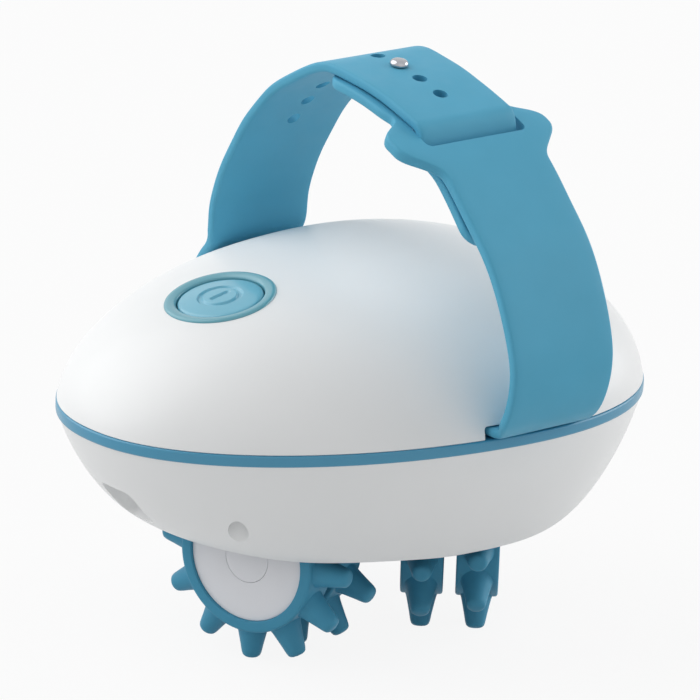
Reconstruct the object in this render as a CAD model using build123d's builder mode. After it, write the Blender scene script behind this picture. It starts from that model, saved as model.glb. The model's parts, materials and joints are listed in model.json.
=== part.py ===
from build123d import *
import os
from math import acos, atan, copysign, cos, degrees, hypot, pi, radians, sin, sqrt, tan

# Hand-held cellulite massager: an egg-shaped housing with a hand strap over it and a turning head of six
# spiked rollers under it. Millimetres, +Z up. The origin is where the head's axis meets the plane that the
# spikes stand on, and -X is the end with the button.

os.makedirs("parts", exist_ok=True)

# Housing
half_length = 74.0
half_width = 57.0
egg_share = 0.18
plan_power = 2.17
seam_height = 60.0
wall = 2.5
dome_rise = 30.7
dome_edge_power = 3.12
dome_crown_power = 1.74
dome_top_shift = 13.9
bowl_depth = 30.0
foot_length_share = 0.61
foot_width_share = 0.81
foot_shift = 1.65
bowl_edge_power = 1.85
bowl_floor_power = 1.24
plan_steps = 24
dome_turns = (0, 10, 21, 32, 43, 54, 64, 73, 80, 85, 88.5)
bowl_turns = (0, 12, 24, 36, 48, 60, 71, 81, 90)

# Trim ring between the shells
trim_height = 2.5
trim_proud = 0.15
trim_depth = 2.2
lip_start = 3.2
lip_end = 3.9
lip_rise = 1.4

# Round well and its roof, over the massage head
well_radius = 46.0
roof_underside = 56.0
roof_thickness = 2.5

# Massage head
roller_pairs = 3
first_arm_angle = 199.0
axle_height = 26.0
pair_radius = 28.0
roller_spacing = 13.2
head_plate_radius = 43.5
head_plate_underside = 53.0
head_plate_thickness = 2.5
column_radius = 14.0
column_foot = 20.0
pad_radius = 6.0
pad_reach = 15.0
gusset_thickness = 3.0
gusset_reach = 41.0

# Rollers
drum_radius = 18.15
drum_width = 10.2
drum_edge = 0.9
tyre_bore = 15.2
tip_radius = 26.0
spikes = 12
spike_base_radius = 3.9
spike_tip_radius = 2.35
spike_tip_chamfer = 0.8
face_recess = 0.8
outer_roller_turn = 0.0
inner_roller_turn = 10.2

# Axles and caps
axle_radius = 2.5
axle_root = 6.5
axle_head_radius = 4.5
axle_head_thickness = 0.7
cap_radius = 6.0
cap_thickness = 0.8
boss_radius = 5.0

# Fits
running = 0.05
play = 0.3

# Drive
shaft_radius = 4.0
shaft_foot = 32.0
shaft_flat = 3.3
journal_radius = 2.5
bush_radius = 6.5
bush_flange_radius = 8.3
bush_flange_thickness = 0.8
roof_boss_radius = 9.5
roof_boss_top = 61.0
gear_module = 1.25
pressure_angle = 25.0
backlash = 0.12
addendum = 0.85
dedendum = 1.15
output_teeth = 44
idler_small_teeth = 11
idler_large_teeth = 32
pinion_teeth = 10
output_gear_base = 60.0
output_gear_face = 4.2
output_hub_radius = 7.0
output_hub_top = 67.0
large_gear_base = 65.4
large_gear_face = 2.8
idler_pin_radius = 1.5
motor_angle = 120.0
motor_radius = 12.2
motor_height = 12.3
motor_shaft_radius = 1.0
motor_boss_radius = 3.0
motor_screw_circle = 9.0
motor_screw_radius = 1.0
chassis_underside = 69.5
chassis_thickness = 1.5
chassis_legs = ((-28.0, 22.0), (-28.0, -22.0), (30.0, -30.0), (16.0, 37.0))
leg_radius = 3.2
leg_screw_radius = 1.2
screw_head_radius = 2.1
screw_head_height = 1.5
ring_radius = 6.0
ring_thickness = 0.8
groove_radius = 3.3

# Screw that holds the head on the shaft
head_screw_radius = 2.0
head_screw_head_radius = 3.6
head_screw_head_height = 2.6
head_web = 3.0
head_cap_radius = 11.5
head_cap_drop = 3.0

# Button and its switch
button_x = -37.0
bezel_radius = 13.25
bezel_opening = 10.45
bezel_sleeve_radius = 11.8
bezel_proud = 0.5
bezel_seat = 1.6
sleeve_depth = 6.0
button_radius = 10.2
button_proud = 0.3
button_roof = 3.0
button_skirt = 1.4
flange_radius = 11.3
flange_thickness = 1.3
stem_radius = 2.2
stem_foot = 8.4
travel = 0.8
plunger_radius = 1.7
plunger_length = 2.2
switch_size = 6.2
switch_height = 3.6
board_top = 13.2
board_thickness = 1.6
board_length = 35.0
board_width = 27.0
post_x = 14.5
post_y = 10.2
post_radius = 2.6
board_screw_radius = 1.1

# Plug recess and power inlet
recess_x = -62.3
recess_height = 41.0
recess_tilt = 40.0
recess_width = 11.6
recess_length = 12.6
recess_corner = 2.6
recess_depth = 3.4
recess_wall = 1.8
snout_radius = 4.0
inlet_bore_radius = 2.8
inlet_pin_radius = 1.05
inlet_bore_depth = 9.5
inlet_body_width = 9.0
inlet_body_depth = 9.0

# Housing screws
screw_x = 50.8
screw_y = 27.0
access_radius = 2.4
tower_wall = 2.0
shelf_underside = 48.0
shelf_thickness = 3.0
screw_radius = 1.3
screw_length = 10.5
shelf_hole_radius = 1.6
boss_wall = 2.2
boss_gap = 0.3

# Strap
strap_centre = 9.9
strap_base_width = 28.9
strap_top_width = 31.0
strap_top_height = 77.0
strap_thickness = 2.4
layer_gap = 0.3
anchor_y = 50.2
anchor_height = 2.75
bead_radius = 2.2
anchor_pin_radius = 1.0
lug_thickness = 2.7
lug_gap = 0.7
lug_depth = 3.4
lug_top = 4.8
window_gap = 1.2
window_height = 3.0
loop_width = 43.6
loop_flat_near = 5.0
loop_flat_far = 2.0
loop_run_near = 12.0
loop_run_far = 8.0
loop_near = -34.3
loop_far = -25.5
slot_side_gap = 0.6
tail_end = -49.0
stud_y = -5.9
hole_radius = 1.8
hole_spacing = 7.7
holes_before = 2
holes_after = 6
stud_neck_radius = 1.5
stud_head_radius = 2.2
stud_head_height = 1.7
stud_foot_radius = 3.2
stud_foot_thickness = 0.8
stud_play = 0.12
tongue_corner = 6.0
# The end of the hole half that goes through the slot is narrower, and lies to one side in it
end_left = 14.9
end_right = 13.7
end_narrow_from = 12.0
end_narrow_to = -18.0
# Middle line of the loop half, from its anchor over to the end of its tongue: across, and above the seam
loop_half_line = (
    (-anchor_y, anchor_height), (-54.5, anchor_height), (-58.8, anchor_height + 0.05), (-62.6, 5.0),
    (-65.3, 9.7), (-66.7, 15.4), (-66.9, 20.5), (-65.8, 25.8), (-63.7, 31.6), (-60.5, 38.4),
    (-55.9, 45.4), (-50.3, 51.4), (-44.7, 57.2), (-38.6, 62.4), (-31.7, 66.2), (-24.8, 68.8),
    (-18.4, 70.8), (-12.2, 72.3), (-6.0, 73.3), (0.0, 73.8), (3.4, 73.9),
)
# Middle line of the hole half where it runs free, from beyond the tongue down to its own anchor
hole_half_line = (
    (10.4, 74.1), (16.7, 70.7), (23.0, 66.7), (28.2, 61.8), (33.1, 56.3), (37.3, 50.0), (41.2, 43.5),
    (44.1, 36.8), (45.6, 31.0), (45.8, 27.6), (46.2, 24.8), (47.5, 22.3), (49.7, 20.1), (52.1, 17.6),
    (54.6, 14.6), (57.0, 11.3), (59.2, 8.1), (60.3, 5.6), (59.7, 3.6),
    (57.7, anchor_height + 0.05), (54.5, anchor_height), (anchor_y, anchor_height),
)

# Heights and places that follow from the sizes above
upper_edge = seam_height + trim_height / 2
lower_edge = seam_height - trim_height / 2
roof_top = roof_underside + roof_thickness
well_wall_radius = well_radius + wall
outer_radius = pair_radius + roller_spacing / 2
inner_radius = pair_radius - roller_spacing / 2
head_plate_top = head_plate_underside + head_plate_thickness
chassis_top = chassis_underside + chassis_thickness
idler_x = gear_module * (output_teeth + idler_small_teeth) / 2
motor_distance = gear_module * (idler_large_teeth + pinion_teeth) / 2
motor_x = idler_x + motor_distance * cos(radians(motor_angle))
motor_y = motor_distance * sin(radians(motor_angle))
face_reach = drum_width / 2 - face_recess
layer_step = strap_thickness + layer_gap
arm_angles = [first_arm_angle + 360.0 / roller_pairs * k for k in range(roller_pairs)]


def finish(builder, name):
    """Labels a finished piece and writes it."""
    builder.part.label = name
    export_step(builder.part, f"parts/{name}.step")


# Plan outline of the housing, and the dome and bowl that follow it


def plan_points(grow, length_share=1.0, width_share=1.0, shift=0.0):
    """Points round the egg-shaped plan outline, grown, scaled about the axis and shifted along X."""
    points = []
    for k in range(plan_steps):
        turn = 2 * pi * k / plan_steps
        along = copysign(abs(cos(turn)) ** (2 / plan_power), cos(turn))
        across = copysign(abs(sin(turn)) ** (2 / plan_power), sin(turn))
        x = along * (half_length + grow)
        y = across * (half_width + grow) * (1 + egg_share * along)
        points.append((x * length_share + shift, y * width_share))
    return points


def section(points, height):
    """A face inside a closed smooth curve at a height."""
    with BuildSketch(Plane.XY.offset(height)) as face:
        with BuildLine():
            Spline(*points, periodic=True)
        make_face()
    return face.sketch


def dome_body(grow):
    """The dome's solid form over the seam, grown by the same amount everywhere."""
    faces = []
    for turn in dome_turns:
        share = cos(radians(turn)) ** (2 / dome_edge_power)
        rise = (dome_rise + grow) * sin(radians(turn)) ** (2 / dome_crown_power)
        points = plan_points(grow, share, share, dome_top_shift * (1 - share))
        faces.append(section(points, seam_height + rise))
    with BuildPart() as body:
        loft(faces)
    return body.part


def bowl_body(grow):
    """The bowl's solid form under the seam, grown by the same amount everywhere."""
    faces = []
    for turn in bowl_turns:
        share = max(cos(radians(turn)), 0.0) ** (2 / bowl_edge_power)
        drop = (bowl_depth + grow) * sin(radians(turn)) ** (2 / bowl_floor_power)
        length_share = foot_length_share + (1 - foot_length_share) * share
        width_share = foot_width_share + (1 - foot_width_share) * share
        points = plan_points(grow, length_share, width_share, foot_shift * (1 - share))
        faces.append(section(points, seam_height - drop))
    with BuildPart() as body:
        loft(faces)
    return body.part


def dome_front_rise(x):
    """Height of the dome over the seam at a place on its front centre line."""
    share = (dome_top_shift - x) / (half_length + dome_top_shift)
    turn = acos(share ** (dome_edge_power / 2))
    return dome_rise * sin(turn) ** (2 / dome_crown_power)


def rod(radius, low, high, x=0.0, y=0.0):
    """An upright cylinder between two heights, for use in other pieces."""
    with BuildPart() as cylinder:
        with BuildSketch(Plane.XY.offset(low)):
            with Locations((x, y)):
                Circle(radius)
        extrude(amount=high - low)
    return cylinder.part


dome = dome_body(0)
bowl = bowl_body(0)
screw_places = [(x, y) for x in (-screw_x, screw_x) for y in (-screw_y, screw_y)]

# Plane of the button: on the dome's front, square to its surface
slope_step = 0.5
slope_rise = dome_front_rise(button_x + slope_step) - dome_front_rise(button_x - slope_step)
button_slope = slope_rise / (2 * slope_step)
button_tilt = degrees(atan(button_slope))
button_plane = Plane(
    origin=(button_x, 0, seam_height + dome_front_rise(button_x)),
    x_dir=(cos(radians(button_tilt)), 0, sin(radians(button_tilt))),
    z_dir=(-sin(radians(button_tilt)), 0, cos(radians(button_tilt))),
)


def button_rod(radius, low, high):
    """A cylinder along the button's axis."""
    with BuildPart() as cylinder:
        with BuildSketch(button_plane.offset(low)):
            Circle(radius)
        extrude(amount=high - low)
    return cylinder.part


# Plane of the plug recess: on the bowl's front, facing forward and down
recess_plane = Plane(
    origin=(recess_x, 0, recess_height),
    x_dir=(0, 1, 0),
    z_dir=(-cos(radians(recess_tilt)), 0, -sin(radians(recess_tilt))),
)

# Upper shell: hollow dome with the strap windows, the button opening, screw bosses and board posts
reach = 40.0
boss_foot = shelf_underside + shelf_thickness + boss_gap
with BuildPart() as boss_room:
    add(dome_body(-wall / 2))
    with BuildSketch(Plane.XY.offset(seam_height)):
        with BuildLine():
            Spline(*plan_points(-wall / 2), periodic=True)
        make_face()
    extrude(amount=boss_foot - seam_height)

with BuildPart() as shell_bosses:
    with BuildSketch(Plane.XY.offset(boss_foot)):
        with Locations(*screw_places):
            Circle(screw_radius + boss_wall)
    extrude(amount=reach)
    with BuildSketch(button_plane.offset(-board_top)):
        with GridLocations(2 * post_x, 2 * post_y, 2, 2):
            Circle(post_radius)
    extrude(amount=reach / 2)
    add(boss_room.part, mode=Mode.INTERSECT)

with BuildPart() as upper_shell:
    add(dome)
    add(dome_body(-wall), mode=Mode.SUBTRACT)
    split(bisect_by=Plane.XY.offset(upper_edge), keep=Keep.TOP)
    add(shell_bosses.part)
    bezel_cut = button_rod(bezel_radius + running, -bezel_seat - wall, wall)
    add(bezel_cut - dome_body(-bezel_seat), mode=Mode.SUBTRACT)
    add(button_rod(bezel_sleeve_radius + running, -reach / 2, wall), mode=Mode.SUBTRACT)
    with BuildSketch(Plane.XY.offset(boss_foot)):
        with Locations(*screw_places):
            Circle(screw_radius)
    extrude(amount=screw_length - shelf_thickness, mode=Mode.SUBTRACT)
    with BuildSketch(button_plane.offset(-board_top)):
        with GridLocations(2 * post_x, 2 * post_y, 2, 2):
            Circle(board_screw_radius)
    extrude(amount=2 * post_radius, mode=Mode.SUBTRACT)
    with BuildSketch(Plane.XY.offset(upper_edge)):
        with Locations((strap_centre, 0)):
            Rectangle(strap_base_width + 2 * window_gap, 3 * half_width)
    extrude(amount=window_height, mode=Mode.SUBTRACT)
finish(upper_shell, "upper_shell")

# Trim ring: band that shows at the seam, with an inner lip that centres the upper shell
with BuildPart() as trim_ring:
    with BuildSketch(Plane.XY.offset(lower_edge)):
        with BuildLine():
            Spline(*plan_points(trim_proud), periodic=True)
        make_face()
        with BuildLine():
            Spline(*plan_points(-lip_end), periodic=True)
        make_face(mode=Mode.SUBTRACT)
    extrude(amount=trim_height)
    with BuildSketch(Plane.XY.offset(upper_edge)):
        with BuildLine():
            Spline(*plan_points(-lip_start), periodic=True)
        make_face()
        with BuildLine():
            Spline(*plan_points(-lip_end), periodic=True)
        make_face(mode=Mode.SUBTRACT)
    extrude(amount=lip_rise)
    lug_zone = strap_base_width + 2 * (lug_gap + lug_thickness + play)
    with BuildSketch(Plane.XY.offset(lower_edge)):
        with BuildLine():
            Spline(*plan_points(-trim_depth), periodic=True)
        make_face()
        with Locations((strap_centre, 0)):
            Rectangle(lug_zone, 3 * half_width, mode=Mode.INTERSECT)
    extrude(amount=trim_height + lip_rise, mode=Mode.SUBTRACT)
finish(trim_ring, "trim_ring")

# Lower shell: hollow bowl with the head's well, its roof, screw towers, strap lugs and the plug recess
with BuildPart() as inner_works:
    add(rod(well_wall_radius, 0, roof_top))
    with BuildSketch():
        with Locations(*screw_places):
            Circle(access_radius + tower_wall)
    extrude(amount=shelf_underside + shelf_thickness)
    with BuildSketch(recess_plane.offset(-recess_depth - recess_wall)):
        RectangleRounded(recess_width + 2 * recess_wall, recess_length + 2 * recess_wall, recess_corner)
    extrude(amount=reach)
    add(bowl, mode=Mode.INTERSECT)

lug_inner_edge = sqrt(well_radius**2 - (strap_centre + strap_base_width / 2 + lug_gap + lug_thickness) ** 2)
with BuildPart() as strap_lugs:
    for side in (-1, 1):
        for end in (-1, 1):
            lug_x = strap_centre + end * (strap_base_width / 2 + lug_gap + lug_thickness / 2)
            with BuildSketch(Plane.YZ.offset(lug_x - lug_thickness / 2)):
                with BuildLine():
                    Polyline(
                        (side * (anchor_y + lug_depth / 2), roof_underside - wall),
                        (side * (anchor_y + lug_depth / 2), seam_height + lug_top),
                        (side * (anchor_y - lug_depth / 2), seam_height + lug_top),
                        (side * (anchor_y - lug_depth / 2), roof_top),
                        (side * lug_inner_edge, roof_top),
                        (side * lug_inner_edge, roof_underside - wall),
                        close=True,
                    )
                make_face()
                with Locations((side * anchor_y, seam_height + anchor_height)):
                    Circle(anchor_pin_radius, mode=Mode.SUBTRACT)
            extrude(amount=lug_thickness)

with BuildPart() as lower_shell:
    add(bowl)
    add(bowl_body(-wall), mode=Mode.SUBTRACT)
    split(bisect_by=Plane.XY.offset(lower_edge), keep=Keep.BOTTOM)
    add(inner_works.part)
    add(strap_lugs.part)
    add(rod(well_radius, -1, roof_underside), mode=Mode.SUBTRACT)
    add(rod(roof_boss_radius, roof_underside, roof_boss_top))
    add(rod(bush_radius, roof_underside - 1, roof_boss_top + 1), mode=Mode.SUBTRACT)
    with BuildSketch():
        with Locations(*screw_places):
            Circle(access_radius)
    extrude(amount=shelf_underside, mode=Mode.SUBTRACT)
    with BuildSketch(Plane.XY.offset(shelf_underside)):
        with Locations(*screw_places):
            Circle(shelf_hole_radius)
    extrude(amount=shelf_thickness, mode=Mode.SUBTRACT)
    with BuildSketch(Plane.XY.offset(roof_underside)):
        with Locations(*chassis_legs):
            Circle(leg_screw_radius)
        with Locations((idler_x, 0)):
            Circle(idler_pin_radius)
    extrude(amount=roof_thickness, mode=Mode.SUBTRACT)
    with BuildSketch(recess_plane.offset(-recess_depth)):
        RectangleRounded(recess_width, recess_length, recess_corner)
    extrude(amount=reach, mode=Mode.SUBTRACT)
    with BuildSketch(recess_plane.offset(-recess_depth - recess_wall)):
        Circle(snout_radius)
    extrude(amount=recess_wall, mode=Mode.SUBTRACT)
finish(lower_shell, "lower_shell")

# Bezel and button, both cut from the dome's own surface so that they follow it
with BuildPart() as button_bezel:
    add(button_rod(bezel_radius, -bezel_seat - wall, wall))
    add(dome_body(bezel_proud), mode=Mode.INTERSECT)
    add(dome_body(-bezel_seat), mode=Mode.SUBTRACT)
    add(button_rod(bezel_sleeve_radius, -sleeve_depth, -bezel_seat))
    add(button_rod(bezel_opening, -reach / 2, wall), mode=Mode.SUBTRACT)
finish(button_bezel, "button_bezel")

flange_top = sleeve_depth + play
with BuildPart() as power_button:
    add(button_rod(button_radius, -flange_top - flange_thickness, wall))
    add(dome_body(button_proud), mode=Mode.INTERSECT)
    add(button_rod(flange_radius, -flange_top - flange_thickness, -flange_top))
    button_hollow = button_rod(button_radius - button_skirt, -flange_top - flange_thickness, -button_roof)
    add(button_hollow, mode=Mode.SUBTRACT)
    add(button_rod(stem_radius, -stem_foot, -button_roof))
finish(power_button, "power_button")

# Switch and its board, hung under the dome on four posts
with BuildPart() as switch_plunger:
    add(button_rod(plunger_radius, -stem_foot - plunger_length, -stem_foot))
finish(switch_plunger, "switch_plunger")

switch_top = board_top - switch_height
with BuildPart() as switch_body:
    with BuildSketch(button_plane.offset(-board_top)):
        Rectangle(switch_size, switch_size)
    extrude(amount=switch_height)
    chamfer(switch_body.edges().group_by(Axis.Z)[-1], 0.3)
    add(button_rod(plunger_radius + running, -stem_foot - plunger_length - travel - play, -switch_top + 1),
        mode=Mode.SUBTRACT)
finish(switch_body, "switch_body")

with BuildPart() as circuit_board:
    with BuildSketch(button_plane.offset(-board_top - board_thickness)):
        RectangleRounded(board_length, board_width, post_radius)
        with GridLocations(2 * post_x, 2 * post_y, 2, 2):
            Circle(board_screw_radius, mode=Mode.SUBTRACT)
    extrude(amount=board_thickness)
finish(circuit_board, "circuit_board")

with BuildPart() as board_screws:
    with BuildSketch(button_plane.offset(-board_top - board_thickness)):
        with GridLocations(2 * post_x, 2 * post_y, 2, 2):
            Circle(board_screw_radius)
    extrude(amount=board_thickness + 2 * post_radius)
    with BuildSketch(button_plane.offset(-board_top - board_thickness)):
        with GridLocations(2 * post_x, 2 * post_y, 2, 2):
            Circle(screw_head_radius)
    extrude(amount=-screw_head_height)
finish(board_screws, "board_screws")

# Power inlet: a socket for a small barrel plug, its snout in the floor of the recess
with BuildPart() as power_socket:
    with BuildSketch(recess_plane.offset(-recess_depth)):
        Circle(snout_radius)
    extrude(amount=-recess_wall)
    with BuildSketch(recess_plane.offset(-recess_depth - recess_wall)):
        Rectangle(inlet_body_width, inlet_body_width)
    extrude(amount=-inlet_body_depth)
    with BuildSketch(recess_plane.offset(-recess_depth)):
        Circle(inlet_bore_radius)
        Circle(inlet_pin_radius, mode=Mode.SUBTRACT)
    extrude(amount=-inlet_bore_depth, mode=Mode.SUBTRACT)
finish(power_socket, "power_socket")

# Housing screws, up through the wells into the bosses of the upper shell
with BuildPart() as housing_screws:
    with BuildSketch(Plane.XY.offset(shelf_underside)):
        with Locations(*screw_places):
            Circle(screw_radius)
    extrude(amount=screw_length)
    with BuildSketch(Plane.XY.offset(shelf_underside)):
        with Locations(*screw_places):
            Circle(screw_head_radius)
    extrude(amount=-screw_head_height)
finish(housing_screws, "housing_screws")


# Gears


def involute_point(base, angle, radius):
    """A point of the flank that leaves the base circle at an angle, at a radius."""
    turn = sqrt(max((radius / base) ** 2 - 1, 0))
    spread = turn - atan(turn)
    return radius, angle + spread


def gear_points(teeth):
    """Corners of a gear's outline: for each tooth a root, two flanks of three points each and a tip."""
    pitch = gear_module * teeth / 2
    base = pitch * cos(radians(pressure_angle))
    tip = pitch + addendum * gear_module
    root = pitch - dedendum * gear_module
    half_tooth = (pi / 2 * gear_module - backlash) / 2 / pitch
    base_half = half_tooth + tan(radians(pressure_angle)) - radians(pressure_angle)
    start = max(base, root)
    points = []
    for k in range(teeth):
        middle = 2 * pi * k / teeth
        flank = [involute_point(base, 0, start + (tip - start) * share) for share in (0, 0.5, 1)]
        points.append((root, middle - base_half))
        points += [(radius, middle - base_half + spread) for radius, spread in flank]
        points += [(radius, middle + base_half - spread) for radius, spread in reversed(flank)]
        points.append((root, middle + base_half))
    kept = [points[0]]
    for radius, angle in points[1:]:
        last_radius, last_angle = kept[-1]
        if hypot(radius - last_radius, last_radius * (angle - last_angle)) > 0.01:
            kept.append((radius, angle))
    return [(radius * cos(angle), radius * sin(angle)) for radius, angle in kept]


def gear(teeth, x, y, base, face, turn):
    """A spur gear blank with its teeth, one of them pointing at an angle."""
    with BuildPart() as blank:
        x_way = (cos(radians(turn)), sin(radians(turn)), 0)
        with BuildSketch(Plane(origin=(x, y, base), x_dir=x_way, z_dir=(0, 0, 1))):
            with BuildLine():
                Polyline(*gear_points(teeth), close=True)
            make_face()
        extrude(amount=face)
    return blank.part


# The output gear has a tooth towards the idler, the idler a gap towards it, and so on down the train
idler_small_turn = 180.0 + 180.0 / idler_small_teeth
idler_large_turn = motor_angle
pinion_turn = motor_angle + 180.0 + 180.0 / pinion_teeth


def flatted(radius, flat, low, high):
    """A round bar with two flats."""
    with BuildPart() as bar:
        with BuildSketch(Plane.XY.offset(low)):
            Circle(radius)
            Rectangle(3 * radius, 2 * flat, mode=Mode.INTERSECT)
        extrude(amount=high - low)
    return bar.part


bush_top = roof_boss_top + bush_flange_thickness
gear_web = bush_top + play
with BuildPart() as output_gear:
    add(gear(output_teeth, 0, 0, output_gear_base, output_gear_face, 0))
    add(rod(output_hub_radius, output_gear_base, output_hub_top))
    add(rod(roof_boss_radius + 2 * play, output_gear_base, gear_web), mode=Mode.SUBTRACT)
    add(flatted(shaft_radius, shaft_flat, gear_web, output_hub_top), mode=Mode.SUBTRACT)
    with BuildSketch(Plane.XY.offset(output_gear_base)):
        with PolarLocations(gear_module * output_teeth / 2 * 0.66, 6):
            Circle(4.2)
    extrude(amount=output_gear_face, mode=Mode.SUBTRACT)
finish(output_gear, "output_gear")

with BuildPart() as idler_gear:
    small_face = large_gear_base - output_gear_base
    add(gear(idler_small_teeth, idler_x, 0, output_gear_base, small_face, idler_small_turn))
    add(gear(idler_large_teeth, idler_x, 0, large_gear_base, large_gear_face, idler_large_turn))
    add(rod(idler_pin_radius + running, 0, chassis_top, idler_x), mode=Mode.SUBTRACT)
finish(idler_gear, "idler_gear")

with BuildPart() as idler_pin:
    add(rod(idler_pin_radius, roof_underside, chassis_top, idler_x))
finish(idler_pin, "idler_pin")

with BuildPart() as motor_pinion:
    add(gear(pinion_teeth, motor_x, motor_y, large_gear_base - play, large_gear_face + play, pinion_turn))
    add(rod(motor_shaft_radius, 0, chassis_top, motor_x, motor_y), mode=Mode.SUBTRACT)
finish(motor_pinion, "motor_pinion")

with BuildPart() as motor_shaft:
    shaft_top = chassis_top + 2 * motor_shaft_radius
    add(rod(motor_shaft_radius, large_gear_base - play, shaft_top, motor_x, motor_y))
finish(motor_shaft, "motor_shaft")

# Output shaft, its bush in the roof, and the ring that keeps the gear down
with BuildPart() as output_shaft:
    add(flatted(shaft_radius, shaft_flat, shaft_foot, head_plate_underside))
    add(rod(shaft_radius, head_plate_underside, gear_web))
    add(flatted(shaft_radius, shaft_flat, gear_web, output_hub_top))
    add(rod(groove_radius, output_hub_top, output_hub_top + ring_thickness + running))
    ring_top = output_hub_top + ring_thickness + running
    add(flatted(shaft_radius, shaft_flat, ring_top, chassis_underside - play))
    add(rod(journal_radius, chassis_underside - play, chassis_top + play))
    add(rod(head_screw_radius, shaft_foot, shaft_foot + 4 * head_screw_radius), mode=Mode.SUBTRACT)
finish(output_shaft, "output_shaft")

with BuildPart() as shaft_bush:
    add(rod(bush_radius, roof_underside, roof_boss_top))
    add(rod(bush_flange_radius, roof_boss_top, bush_top))
    add(rod(shaft_radius + running, 0, bush_top), mode=Mode.SUBTRACT)
finish(shaft_bush, "shaft_bush")

with BuildPart() as retaining_ring:
    add(rod(ring_radius, output_hub_top, output_hub_top + ring_thickness))
    add(rod(groove_radius, 0, chassis_top), mode=Mode.SUBTRACT)
    with BuildSketch(Plane.XY.offset(output_hub_top)):
        with Locations((ring_radius, 0)):
            Rectangle(2 * ring_radius, 2 * journal_radius)
    extrude(amount=ring_thickness, mode=Mode.SUBTRACT)
finish(retaining_ring, "retaining_ring")

# Gear chassis: a plate over the train, on four legs, with the motor on top
with BuildPart() as gear_chassis:
    with BuildSketch(Plane.XY.offset(chassis_underside)):
        with Locations(*chassis_legs, (motor_x, motor_y), (idler_x, 0)):
            Circle(2 * leg_radius)
        make_hull()
    extrude(amount=chassis_thickness)
    with BuildSketch(Plane.XY.offset(roof_top)):
        with Locations(*chassis_legs):
            Circle(leg_radius)
    extrude(amount=chassis_top - roof_top)
    with BuildSketch(Plane.XY.offset(roof_top)):
        with Locations(*chassis_legs):
            Circle(leg_screw_radius)
        with Locations((motor_x, motor_y)):
            Circle(motor_boss_radius)
        with Locations((idler_x, 0)):
            Circle(idler_pin_radius)
        Circle(journal_radius + running)
        with Locations((motor_x, motor_y)):
            with PolarLocations(motor_screw_circle, 2, motor_angle):
                Circle(motor_screw_radius)
    extrude(amount=chassis_top - roof_top, mode=Mode.SUBTRACT)
finish(gear_chassis, "gear_chassis")

with BuildPart() as motor:
    add(rod(motor_radius, chassis_top, chassis_top + motor_height, motor_x, motor_y))
    fillet(motor.faces().sort_by(Axis.Z)[-1].edges(), 1.0)
    add(rod(motor_boss_radius, chassis_underside + play, chassis_top, motor_x, motor_y))
    add(rod(motor_shaft_radius + running, 0, chassis_top + 3 * motor_shaft_radius, motor_x, motor_y),
        mode=Mode.SUBTRACT)
    with BuildSketch(Plane.XY.offset(chassis_top)):
        with Locations((motor_x, motor_y)):
            with PolarLocations(motor_screw_circle, 2, motor_angle):
                Circle(motor_screw_radius)
    extrude(amount=3 * motor_screw_radius, mode=Mode.SUBTRACT)
finish(motor, "motor")

with BuildPart() as motor_screws:
    with BuildSketch(Plane.XY.offset(chassis_underside)):
        with Locations((motor_x, motor_y)):
            with PolarLocations(motor_screw_circle, 2, motor_angle):
                Circle(motor_screw_radius)
    extrude(amount=chassis_thickness + 3 * motor_screw_radius)
    with BuildSketch(Plane.XY.offset(chassis_underside)):
        with Locations((motor_x, motor_y)):
            with PolarLocations(motor_screw_circle, 2, motor_angle):
                Circle(1.7 * motor_screw_radius)
    extrude(amount=-motor_screw_radius)
finish(motor_screws, "motor_screws")

with BuildPart() as chassis_screws:
    with BuildSketch(Plane.XY.offset(roof_underside)):
        with Locations(*chassis_legs):
            Circle(leg_screw_radius)
    extrude(amount=chassis_top - roof_underside)
    with BuildSketch(Plane.XY.offset(chassis_top)):
        with Locations(*chassis_legs):
            Circle(screw_head_radius)
    extrude(amount=screw_head_height)
finish(chassis_screws, "chassis_screws")


# Massage head: plate, column, a pad for each axle and a gusset between each two pairs of rollers


def arm_plane(angle, distance):
    """Plane across an axle at a distance from the head's axis: x points down, z points outward."""
    turn = radians(angle)
    return Plane(
        origin=(distance * cos(turn), distance * sin(turn), axle_height),
        x_dir=(0, 0, -1),
        z_dir=(cos(turn), sin(turn), 0),
    )


def arm_rod(angle, radius, start, end):
    """A cylinder along an axle, between two distances from the head's axis."""
    with BuildPart() as cylinder:
        with BuildSketch(arm_plane(angle, start)):
            Circle(radius)
        extrude(amount=end - start)
    return cylinder.part


web_foot = shaft_foot - head_web
with BuildPart() as rotating_head:
    add(rod(head_plate_radius, head_plate_underside, head_plate_top))
    add(rod(column_radius, column_foot, head_plate_underside))
    chamfer(rotating_head.faces().sort_by(Axis.Z)[0].edges(), 1.5)
    for angle in arm_angles:
        add(arm_rod(angle, pad_radius, axle_root, pad_reach))
        turn = radians(angle + 180.0 / roller_pairs)
        upright = Plane(origin=(0, 0, 0), x_dir=(cos(turn), sin(turn), 0), z_dir=(sin(turn), -cos(turn), 0))
        with BuildSketch(upright):
            with BuildLine():
                Polyline(
                    (shaft_radius, column_foot + 2 * head_web),
                    (column_radius + 2, column_foot + 2 * head_web),
                    (gusset_reach, head_plate_underside - 2),
                    (gusset_reach, head_plate_underside),
                    (shaft_radius, head_plate_underside),
                    close=True,
                )
            make_face()
        extrude(amount=gusset_thickness / 2, both=True)
    add(flatted(shaft_radius, shaft_flat, shaft_foot, head_plate_underside), mode=Mode.SUBTRACT)
    add(rod(shaft_radius, head_plate_underside, head_plate_top), mode=Mode.SUBTRACT)
    add(rod(head_screw_radius, web_foot, shaft_foot), mode=Mode.SUBTRACT)
    add(rod(head_screw_head_radius + play, column_foot - 1, web_foot), mode=Mode.SUBTRACT)
    for angle in arm_angles:
        add(arm_rod(angle, axle_radius, axle_root, pad_reach), mode=Mode.SUBTRACT)
finish(rotating_head, "rotating_head")

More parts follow.
